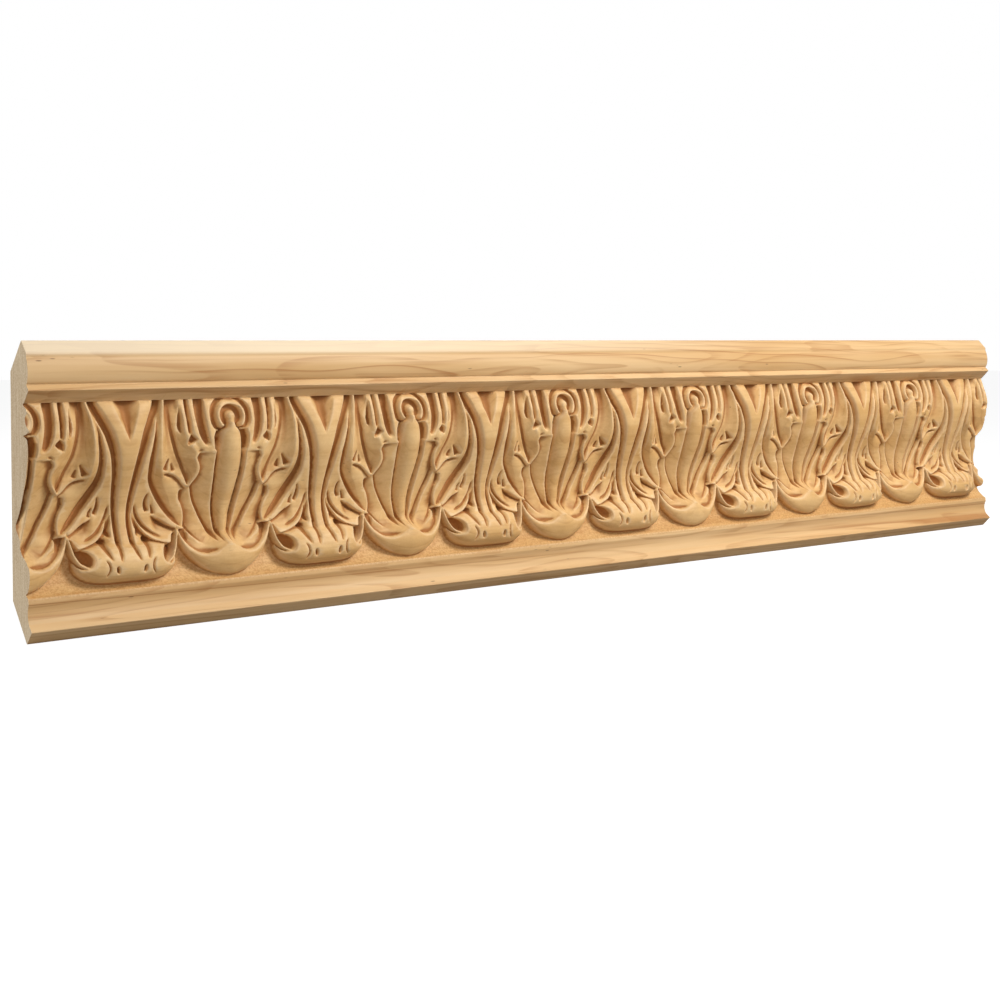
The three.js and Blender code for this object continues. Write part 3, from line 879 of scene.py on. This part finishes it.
def rounded(corners: Sequence[Place], radius: float, sharper_than: float = 12.0) -> list[Place]:
    """Break the sharp corners of a section: a small arc, with a support row on each side.

    The arc is a quadratic Bezier curve whose middle point is the corner.

    Args:
        corners: Pairs of depth and height along the section.
        radius: How far along each side the arc starts, in mm.
        sharper_than: Turn in degrees below which a corner is left as it is.

    Returns:
        The section with its corners broken.
    """
    points = np.array(corners, float)
    out = [points[0]]
    for before, corner, after in zip(points, points[1:], points[2:]):
        a, b = before - corner, after - corner
        la, lb = np.hypot(*a), np.hypot(*b)
        a, b = a / la, b / lb
        turn = 180.0 - math.degrees(math.acos(float(np.clip(a @ b, -1, 1))))
        if turn < sharper_than:
            out.append(corner)
            continue
        ra, rb = min(radius, la * 0.3), min(radius, lb * 0.3)
        p, q = corner + a * ra, corner + b * rb
        arc = [(1 - t) ** 2 * p + 2 * t * (1 - t) * corner + t * t * q for t in (0.0, 0.33, 0.67, 1.0)]
        out += [corner + a * ra * 1.8] + arc + [corner + b * rb * 1.8]
    return [tuple(p) for p in out + [points[-1]]]


@dataclass
class Moulding:
    """One length of moulding: the plain section drawn along it, with the carved band let in."""

    length: float = 567.0
    back_middle: float = 41.5
    first_shell: float = -3.9
    columns: int = 1890
    rows: int = 231
    bays: int = 42
    edge_radius: float = 0.35
    stray: float = 0.2
    ripple: float = 0.05
    ledge: Place = (13.2, 71.75)
    ledge_cover: float = 0.1
    ground_edge: float = 15.65
    lead_in: float = 0.6
    sharp_angle: float = 38.0
    back_zone: float = 2.5
    margin: float = 0.05
    most_triangles: int = 186_000
    band: CarvedBand = field(default_factory=CarvedBand)

    def positions(self, x: Array, depth: Array, z: Array) -> Array:
        """Points in metres from places along the length, depths and heights in mm."""
        return np.stack([x * MM, -depth * MM, (z - self.back_middle) * MM], axis=-1).reshape(-1, 3)

    def places(self, mesh: bpy.types.Mesh) -> tuple[Array, Array, Array]:
        """Where a mesh's vertices are.

        Args:
            mesh: The mesh, in metres.

        Returns:
            Places along the length, depths and heights, in mm.
        """
        place = np.empty(len(mesh.vertices) * 3)
        mesh.vertices.foreach_get("co", place)
        x, y, z = place.reshape(-1, 3).T / MM
        return x, -y, z + self.back_middle

    def hand_waver(self, x: Array, z: Array) -> tuple[Array, Array]:
        """How far the carver's line strays: slow sines along the length that never repeat in step.

        Args:
            x: Places along the length, in mm.
            z: Heights, in mm.

        Returns:
            Strays along the length and in height, none at the band's edges.
        """
        calm = ease((z - self.band.section.band_low) / 4.0) * ease((self.band.section.band_high - z) / 4.0)
        along = np.sin(x * 0.131 + 1.7 * np.sin(z * 0.06) + 0.4) + 0.7 * np.sin(x * 0.047 + z * 0.151 + 2.0)
        up = np.sin(x * 0.113 + z * 0.09 + 1.1) + 0.7 * np.sin(x * 0.057 - z * 0.17)
        return self.stray * along, self.stray * up * calm

    def carved_depth(self, carving: Carving, x: Array, z: Array) -> Array:
        """Depths of the carved band, with the tool's ripple, brought to its edges above and below.

        Args:
            carving: The band's repeat.
            x: Places along the length, in mm.
            z: Heights, in mm.

        Returns:
            Depths from the back.
        """
        section = self.band.section
        waver_u, waver_z = self.hand_waver(x, z)
        u = x + self.length / 2 - self.first_shell + waver_u
        depth = carving.read(Layer.DEPTH, u, z + waver_z)
        long_wave = np.sin(x * 0.93 + 3 * np.sin(z * 0.11))
        depth += self.ripple * long_wave * np.sin(z * 0.71 + 2 * np.sin(x * 0.07))
        depth = np.minimum(depth, self.ledge[0] + self.ledge_cover + (section.band_high - z))
        above = (section.band_low + self.lead_in - z) / self.lead_in
        depth = np.where(above > 0.0, depth + (self.ground_edge - depth) * ease(above), depth)
        depth[0] = self.ground_edge
        return depth

    def grid(self, carving: Carving) -> tuple[Array, list[Any], Array]:
        """Lay out the whole skin: carved grid, ledge above it, plain rows round the back, and ends.

        The plain rows have a vertex only at each bay's edge. A long face joins them to the
        fine rows on both sides, and one face closes each end.

        Args:
            carving: The band's repeat.

        Returns:
            Vertices, faces, and the indices of the vertices inside the carving.
        """
        section = self.band.section
        x = np.linspace(-self.length / 2, self.length / 2, self.columns + 1)
        z = np.linspace(section.band_low, section.band_high, self.rows + 1)
        X, Z = np.meshgrid(x, z)
        depth = self.carved_depth(carving, X, Z)

        n = self.columns + 1
        stride = self.columns // self.bays
        corners = [self.ledge] + section.upper() + section.lower() + [(self.ground_edge, section.band_low)]
        loop = rounded(corners, self.edge_radius)[1:-1]
        xc = x[::stride]
        count = len(loop)
        D, XC = np.meshgrid([p[0] for p in loop], xc, indexing="ij")
        ZC, _ = np.meshgrid([p[1] for p in loop], xc, indexing="ij")
        vertices = np.concatenate([
            self.positions(X, depth, Z),
            self.positions(x, np.full(n, self.ledge[0]), np.full(n, self.ledge[1])),
            self.positions(XC, D, ZC)])

        base = n * (self.rows + 1)
        index = np.arange(base).reshape(self.rows + 1, n)
        ledge = base + np.arange(n)
        fine = np.vstack([index, ledge])
        plain = base + n + np.arange(count * len(xc)).reshape(count, len(xc))
        faces = quads(fine).tolist() + quads(plain).tolist()
        for bay in range(self.bays):
            span = slice(bay * stride, (bay + 1) * stride + 1)
            faces.append(ledge[span].tolist() + [plain[0, bay + 1], plain[0, bay]])
            faces.append([plain[-1, bay], plain[-1, bay + 1]] + index[0, span][::-1].tolist())
        for side, order in ((0, 1), (-1, -1)):
            ring = fine[:, side].tolist() + plain[:, side].tolist()
            faces.append(ring[::order])
        return vertices, faces, index[1:-1, 1:-1].ravel()

    def build(self) -> bpy.types.Object:
        """Make the mesh, thin it where the carving is plain, shade it and write its attributes.

        Returns:
            The finished piece.
        """
        carving = self.band.carve()
        vertices, faces, inside = self.grid(carving)
        mesh = bpy.data.meshes.new("carved moulding")
        mesh.from_pydata(vertices.tolist(), [], faces)
        piece = bpy.data.objects.new("carved_maple_moulding", mesh)
        bpy.context.scene.collection.objects.link(piece)
        piece.vertex_groups.new(name="carving").add(inside.tolist(), 1.0, "REPLACE")
        total = sum(len(f) - 2 for f in faces)
        thin = piece.modifiers.new("thin", "DECIMATE")
        thin.ratio = self.most_triangles / total
        thin.vertex_group = "carving"
        evaluated = piece.evaluated_get(bpy.context.evaluated_depsgraph_get())
        thinned = bpy.data.meshes.new_from_object(evaluated)
        piece.modifiers.remove(thin)
        piece.data = thinned
        piece.vertex_groups.clear()
        bpy.data.meshes.remove(mesh)
        self.dress_edges(thinned)
        self.write_layers(thinned, carving)
        thinned.calc_loop_triangles()
        LOG.info("carved moulding: %d vertices, %d triangles from %d", len(thinned.vertices),
                 len(thinned.loop_triangles), total)
        return piece

    def dress_edges(self, mesh: bpy.types.Mesh) -> None:
        """Shade the skin smooth, with hard edges only round the plain section and the cut ends.

        Args:
            mesh: The thinned mesh.
        """
        mesh.shade_smooth()
        mesh.set_sharp_from_angle(angle=math.radians(self.sharp_angle))
        x, depth, z = self.places(mesh)
        pair = np.empty(len(mesh.edges) * 2, int)
        mesh.edges.foreach_get("vertices", pair)
        section = self.band.section
        inside = ((z > section.band_low + self.margin) & (z < section.band_high - self.margin)
                  & (depth > self.back_zone) & (np.abs(x) < self.length / 2 - self.margin))
        carved = inside[pair.reshape(-1, 2)].any(axis=1)
        sharp = np.zeros(len(mesh.edges), bool)
        mesh.attributes["sharp_edge"].data.foreach_get("value", sharp)
        mesh.attributes["sharp_edge"].data.foreach_set("value", sharp & ~carved)

    def write_layers(self, mesh: bpy.types.Mesh, carving: Carving) -> None:
        """Write the carving's cavity, its bare ground and where it is to the mesh, for the finish.

        Args:
            mesh: The thinned mesh.
            carving: The band's repeat.
        """
        x, depth, z = self.places(mesh)
        section = self.band.section
        carved = (z > section.band_low) & (z < section.band_high) & (depth > self.back_zone)
        waver_u, waver_z = self.hand_waver(x, z)
        u = x + self.length / 2 - self.first_shell + waver_u
        masks = {layer: carving.read(layer, u, z + waver_z) for layer in (Layer.CAVITY, Layer.GROUND)}
        for layer, values in {**masks, Layer.CARVED: 1.0}.items():
            attribute = mesh.attributes.new(layer.value, "FLOAT", "POINT")
            attribute.data.foreach_set("value", np.where(carved, values, 0.0))


# Finish

class Wire:
    """A shader socket that adds its own Math nodes when it stands in an expression."""

    def __init__(self, nodes: "Nodes", socket: bpy.types.NodeSocket) -> None:
        """Wrap a socket of a node tree."""
        self.nodes, self.socket = nodes, socket

    def math(self, operation: str, *others: "Wire | float") -> "Wire":
        """A Math node of this socket and others."""
        return self.nodes.add("ShaderNodeMath", {"operation": operation}, [self, *others])

    def __add__(self, other: "Wire | float") -> "Wire":
        """This plus other."""
        return self.math("ADD", other)

    def __mul__(self, other: "Wire | float") -> "Wire":
        """This times other."""
        return self.math("MULTIPLY", other)

    def __sub__(self, other: "Wire | float") -> "Wire":
        """This less other."""
        return self.math("SUBTRACT", other)

    def __rsub__(self, other: float) -> "Wire":
        """A number less this."""
        return self.nodes.add("ShaderNodeMath", {"operation": "SUBTRACT"}, [other, self])

    def __pow__(self, other: "Wire | float") -> "Wire":
        """This to the power of other."""
        return self.math("POWER", other)

    __radd__ = __add__
    __rmul__ = __mul__

    def step(self, low: float, high: float) -> "Wire":
        """Smoothly 0 to 1 as this goes from low to high."""
        return self.nodes.add("ShaderNodeMapRange", {"interpolation_type": "SMOOTHSTEP"},
                              {"Value": self, "From Min": low, "From Max": high})


class Nodes:
    """A material's or world's node tree, filled node by node."""

    def __init__(self, tree: bpy.types.NodeTree) -> None:
        """Empty the tree."""
        self.tree = tree
        tree.nodes.clear()

    def add(self, kind: str, settings: dict[str, Any] | None = None,
            inputs: dict[str, Any] | list[Any] | None = None, output: str | int = 0) -> Wire:
        """Add a node: its settings first, then the values or links of its sockets.

        Args:
            kind: The node's type.
            settings: Its properties, by name.
            inputs: Values or wires, by socket name or in order.
            output: Which output to hand back.

        Returns:
            A wire on that output.
        """
        node = self.tree.nodes.new(kind)
        for name, value in (settings or {}).items():
            setattr(node, name, value)
        pairs = inputs.items() if isinstance(inputs, dict) else enumerate(inputs or [])
        for name, value in pairs:
            socket = node.inputs[name]
            if isinstance(value, Wire):
                self.tree.links.new(value.socket, socket)
            else:
                socket.default_value = value
        return Wire(self, node.outputs[output])

    def finish(self, kind: str, shader: Wire) -> None:
        """Add the tree's output node on a shader."""
        self.tree.links.new(shader.socket, self.tree.nodes.new(kind).inputs["Surface"])

    def mix(self, share: Wire | float, first: Any, second: Any, blend: str = "MIX") -> Wire:
        """Mix two colours by a share."""
        return self.add("ShaderNodeMix", {"data_type": "RGBA", "blend_type": blend},
                        {0: share, 6: first, 7: second}, output=2)

    def noise(self, place: Wire, scale: float, detail: float, roughness: float = 0.5,
              distortion: float = 0.0) -> Wire:
        """Noise over a place."""
        return self.add("ShaderNodeTexNoise", {}, {
            "Vector": place, "Scale": scale, "Detail": detail, "Roughness": roughness,
            "Distortion": distortion})

    def stretched(self, place: Wire, scale: tuple[float, float, float],
                  shift: tuple[float, float, float] = (0, 0, 0)) -> Wire:
        """A place stretched by a Mapping node."""
        return self.add("ShaderNodeMapping", {"vector_type": "POINT"},
                        {"Vector": place, "Scale": scale, "Location": shift})

    def axes(self, place: Wire) -> tuple[Wire, ...]:
        """The three coordinates of a place."""
        split = self.add("ShaderNodeSeparateXYZ", {}, {"Vector": place}).socket.node
        return tuple(Wire(self, output) for output in split.outputs)

    def attribute(self, layer: Layer) -> Wire:
        """One of the carving's attributes."""
        return self.add("ShaderNodeAttribute", {"attribute_name": layer.value}, output="Fac")


@dataclass(frozen=True)
class MapleFinish:
    """Bare sanded maple, its grain along the length, with darker cut ends."""

    pale: Colour = (0.75, 0.51, 0.265, 1)
    honey: Colour = (0.62, 0.37, 0.15, 1)
    ring: Colour = (0.40, 0.17, 0.05, 1)
    # Painted highlight: the pale colour laid on the top bevel, where the light falls strongest.
    painted_top_highlight: Colour = (0.93, 0.80, 0.60, 1)
    fleck: Colour = (0.24, 0.12, 0.05, 1)
    carved: Colour = (1.05, 1.02, 0.90, 1)
    # Painted shade: the dark colour multiplied into the carving's hollows.
    shade: Colour = (0.46, 0.25, 0.10, 1)
    # Painted highlight: the pale colour laid on sharp crests of the carving.
    painted_crest_highlight: Colour = (0.88, 0.69, 0.45, 1)
    stained: Colour = (0.72, 0.58, 0.42, 1)
    end_pale: Colour = (0.66, 0.54, 0.37, 1)
    end_dark: Colour = (0.40, 0.28, 0.16, 1)
    end_from: float = 0.28346
    heart: Place = (-0.062, 0.006)
    rings_per_metre: float = 260.0
    roughness: float = 0.52
    bump: float = 0.45
    bump_height: float = 0.0004

    def grain(self, n: Nodes, place: Wire, fibre: Wire, cloud: Wire) -> tuple[Wire, Wire]:
        """Colour the wood along its length.

        Growth rings are shells about a far, slightly wandering heart line, dark where the
        fraction of rings * distance comes near 1. Fibres and streaks are noise drawn out along
        the length, and the figure is the fraction of a slow noise. A painted highlight, a paler
        band, runs along the top, strongest at the left. Rings and figure are fainter on the carving.

        Args:
            n: The material's nodes.
            place: Object coordinates.
            fibre: Fine noise along the length.
            cloud: Broad noise.

        Returns:
            The colour, and where the dark flecks are.
        """
        x, y, z = n.axes(place)
        carved = n.attribute(Layer.CARVED)
        wander = n.noise(n.stretched(place, (5.0, 16.0, 16.0)), 1.0, 2.0) - 0.5
        from_y = y - self.heart[0] + wander * 0.016
        from_z = z - self.heart[1] + wander * 0.026 + x * 0.012
        shells = (from_y * from_y + from_z * from_z) ** 0.5
        rings = (shells * self.rings_per_metre + wander * 1.2).math("FRACT")
        late = rings.step(0.80, 0.96) * (1.0 - rings.step(0.96, 1.0)) + rings.step(0.3, 0.9) * 0.25
        streak = n.noise(n.stretched(place, (5, 130, 130), (0.3, 0.1, 0.7)), 1.0, 3.0, 0.55)
        tone = streak.step(0.32, 0.68) * 0.65 + cloud.step(0.35, 0.7) * 0.30 + (fibre - 0.5) * 0.6
        colour = n.mix(tone, self.pale, self.honey)
        colour = n.mix(late * streak.step(0.38, 0.62) * (0.55 - carved * 0.35), colour, self.ring)
        swirl = (n.noise(n.stretched(place, (7, 62, 62), (0.6, 0.3, 0.4)), 1.0, 1.0) * 10.0).math("FRACT")
        figure = swirl.step(0.55, 0.95) * (1.0 - swirl.step(0.95, 1.0))
        colour = n.mix(figure * fibre.step(0.30, 0.60) * (0.42 - carved * 0.28), colour, self.ring)
        # Painted highlight: the top bevel made paler, strongest at the left end and fading out towards the
        # right.
        painted_top_highlight = z.step(0.0465, 0.0490) * (1.0 - x.step(-0.20, 0.16))
        colour = n.mix(painted_top_highlight * 0.75, colour, self.painted_top_highlight)
        dots = n.add("ShaderNodeTexVoronoi", {}, {
            "Vector": n.stretched(place, (130, 620, 620)), "Scale": 1.0, "Randomness": 1.0}, "Distance")
        rare = n.noise(n.stretched(place, (60, 170, 170), (0.5, 0.2, 0.9)), 1.0, 1.0)
        flecks = (1.0 - dots.step(0.08, 0.20)) * rare.step(0.66, 0.74)
        return n.mix(flecks * 0.8, colour, self.fleck), flecks

    def carving(self, n: Nodes, place: Wire, colour: Wire) -> tuple[Wire, Wire, Wire]:
        """Colour the carving: painted shade in the hollows, a painted highlight on the crests and a gritty
        bare ground.

        Args:
            n: The material's nodes.
            place: Object coordinates.
            colour: The wood's colour.

        Returns:
            The colour, how deep a hollow is, and where the bare ground is.
        """
        carved, ground, relief = (n.attribute(layer) for layer in (Layer.CARVED, Layer.GROUND, Layer.CAVITY))
        cavity = relief.math("MAXIMUM", 0.0) * (1.0 - ground * 0.75)
        grit = n.noise(place, 1100.0, 2.0, 0.7).step(0.40, 0.62)
        colour = n.mix(carved, colour, self.carved, "MULTIPLY")
        # Painted shade: hollows darkened by how far they lie below their blurred surroundings, less on the
        # bare ground.
        colour = n.mix(cavity.step(0.05, 1.3) * 0.84, colour, self.shade, "MULTIPLY")
        # Painted highlight: sharp crests, where the cavity field is below zero, made paler.
        colour = n.mix((relief * -1.0).step(0.10, 0.55) * 0.30, colour, self.painted_crest_highlight)
        gritty = ground * (0.25 + grit * 0.45) + carved * grit * 0.10
        return n.mix(gritty, colour, self.stained, "MULTIPLY"), cavity, ground

    def cut_ends(self, n: Nodes, place: Wire, cloud: Wire, colour: Wire) -> tuple[Wire, Wire, Wire]:
        """Colour the cut ends by their pores and rays, which are noise across the section.

        Args:
            n: The material's nodes.
            place: Object coordinates.
            cloud: Broad noise.
            colour: Colour of the wood elsewhere.

        Returns:
            The colour, where the ends are, and their pores.
        """
        x, _, _ = n.axes(place)
        ends = x.math("ABSOLUTE").math("GREATER_THAN", self.end_from)
        pores = n.noise(n.stretched(place, (1, 1700, 1700)), 1.0, 3.0, 0.65)
        rays = n.noise(n.stretched(place, (1, 1300, 50), (0.2, 0.4, 0.1)), 1.0, 3.0, 0.6)
        tone = pores.step(0.36, 0.66) * 0.45 + rays.step(0.35, 0.65) * 0.35 + cloud.step(0.40, 0.66) * 0.2
        return n.mix(ends, colour, n.mix(tone, self.end_pale, self.end_dark)), ends, pores

    def material(self) -> bpy.types.Material:
        """Make the material: its colour in three layers, then fibres, stipple and tool marks as bump.

        Returns:
            The material.
        """
        material = bpy.data.materials.new("sanded maple")
        material.use_nodes = True
        n = Nodes(material.node_tree)
        place = n.add("ShaderNodeTexCoord", output="Object")
        fibre = n.noise(n.stretched(place, (14, 900, 900)), 1.0, 3.0, 0.6)
        cloud = n.noise(n.stretched(place, (9, 20, 20)), 1.0, 2.0)
        colour, flecks = self.grain(n, place, fibre, cloud)
        colour, cavity, ground = self.carving(n, place, colour)
        colour, ends, pores = self.cut_ends(n, place, cloud, colour)

        stipple = n.noise(place, 1500.0, 2.0, 0.6)
        tool = n.noise(n.stretched(place, (260, 500, 500)), 1.0, 2.0)
        height = (fibre * 0.10 + pores * ends * 0.35 + stipple * ground * 0.9 + tool * cavity * 0.25
                  - flecks * 0.4)
        bump = n.add("ShaderNodeBump", {}, {
            "Height": height, "Strength": self.bump, "Distance": self.bump_height})
        rough = fibre * 0.14 + cavity * 0.12 + ends * 0.18 + (self.roughness - 0.07)
        shader = n.add("ShaderNodeBsdfPrincipled", {}, {
            "Base Color": colour, "Roughness": rough, "Normal": bump, "Specular IOR Level": 0.35})
        n.finish("ShaderNodeOutputMaterial", shader)
        return material


# Studio

@dataclass(frozen=True)
class Light:
    """A round soft light that looks at the moulding's middle."""

    name: str
    place: tuple[float, float, float]
    size: float
    power: float
    colour: tuple[float, float, float]

    def hang(self) -> None:
        """Make the light and turn it to the moulding."""
        lamp = bpy.data.lights.new(self.name, "AREA")
        lamp.shape, lamp.size, lamp.energy, lamp.color = "DISK", self.size, self.power, self.colour
        light = bpy.data.objects.new(self.name, lamp)
        aim = Vector(self.place)
        turned = aim.to_track_quat("Z", "Y").to_matrix().to_4x4()
        light.matrix_world = Matrix.Translation(aim) @ turned
        bpy.context.scene.collection.objects.link(light)
        LOG.info("%s: %.1f W, %.2f m across", self.name, self.power, self.size)


@dataclass(frozen=True)
class Studio:
    """A plain pale floor, a white room, a soft key light above, a broad one in front and one behind."""

    floor_size: float = 12.0
    floor_colour: Colour = (0.34, 0.34, 0.34, 1)
    floor_glow: float = 0.86
    room_light: float = 0.24
    backdrop: float = 1.0
    lights: Sequence[Light] = (
        Light("key_light", (0.22, -0.54, 0.55), 0.33, 6.1, (1.0, 0.98, 0.95)),
        Light("front_light", (-0.5, -1.9, 0.5), 1.00, 7.1, (1.0, 1.0, 1.0)),
        Light("left_light", (-1.60, 0.50, 0.60), 0.80, 18.0, (1.0, 1.0, 1.0)))

    def build(self, floor_height: float) -> None:
        """Lay the floor and hang the lights.

        Args:
            floor_height: Height of the moulding's lowest edge.
        """
        half = self.floor_size / 2
        corners = [(a * half, b * half, floor_height) for a, b in ((-1, -1), (1, -1), (1, 1), (-1, 1))]
        mesh = bpy.data.meshes.new("studio floor")
        mesh.from_pydata(corners, [], [(0, 1, 2, 3)])
        floor = bpy.data.objects.new("studio_floor", mesh)
        bpy.context.scene.collection.objects.link(floor)
        material = bpy.data.materials.new("pale floor")
        material.use_nodes = True
        n = Nodes(material.node_tree)
        seen = n.add("ShaderNodeLightPath", output="Is Camera Ray")
        shader = n.add("ShaderNodeBsdfPrincipled", {}, {
            "Base Color": self.floor_colour, "Roughness": 0.9, "Specular IOR Level": 0.0,
            "Emission Color": n.mix(seen, (0, 0, 0, 1), (1, 1, 1, 1)),
            "Emission Strength": self.floor_glow})
        n.finish("ShaderNodeOutputMaterial", shader)
        mesh.materials.append(material)

        world = bpy.data.worlds.new("white room")
        world.use_nodes = True
        n = Nodes(world.node_tree)
        seen = n.add("ShaderNodeLightPath", output="Is Camera Ray")
        strength = seen * (self.backdrop - self.room_light) + self.room_light
        light = n.add("ShaderNodeBackground", {}, {"Color": (1, 1, 1, 1), "Strength": strength})
        n.finish("ShaderNodeOutputWorld", light)
        bpy.context.scene.world = world
        bpy.context.scene.view_settings.view_transform = "Standard"
        for lamp in self.lights:
            lamp.hang()
        LOG.info("studio: floor at %.4f m", floor_height)


@dataclass(frozen=True)
class PhotoCamera:
    """The photograph's view, found from the straight edges of the moulding."""

    place: tuple[float, float, float] = (-0.47259, -0.53771, 0.04683)
    turn: float = 0.653683
    pitch: float = 0.012441
    roll: float = -0.006861
    lens: float = 54.0
    sensor: float = 36.0
    shift_up: float = -0.128

    def build(self) -> bpy.types.Object:
        """Set the camera up and make it the scene's.

        Returns:
            The camera.
        """
        c, s = math.cos(self.turn), math.sin(self.turn)
        a, b = self.pitch, self.roll
        about_up = Matrix(((c, -s, 0), (s, c, 0), (0, 0, 1)))
        about_right = Matrix(((1, 0, 0), (0, math.cos(a), -math.sin(a)), (0, math.sin(a), math.cos(a))))
        about_forward = Matrix(((math.cos(b), 0, math.sin(b)), (0, 1, 0), (-math.sin(b), 0, math.cos(b))))
        right, forward, up = about_forward @ about_right @ about_up
        data = bpy.data.cameras.new("photo camera")
        data.lens, data.sensor_width, data.shift_y = self.lens, self.sensor, self.shift_up
        data.clip_start = 0.01
        camera = bpy.data.objects.new("photo_camera", data)
        frame_axes = Matrix((right, up, -forward)).transposed().to_4x4()
        camera.matrix_world = Matrix.Translation(self.place) @ frame_axes
        bpy.context.scene.collection.objects.link(camera)
        bpy.context.scene.camera = camera
        return camera


def main() -> None:
    """Build the moulding, its studio and the camera."""
    logging.basicConfig(level=logging.INFO, format="%(name)s: %(message)s")
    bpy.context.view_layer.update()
    PhotoCamera().build()
    low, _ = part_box(NODE)
    Studio().build(float(low[2]))
    piece = Moulding().build()
    piece.data.materials.append(MapleFinish().material())
    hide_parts(NODE)
    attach(piece, "root")
    bpy.context.view_layer.update()


if __name__ == "__main__":
    main()
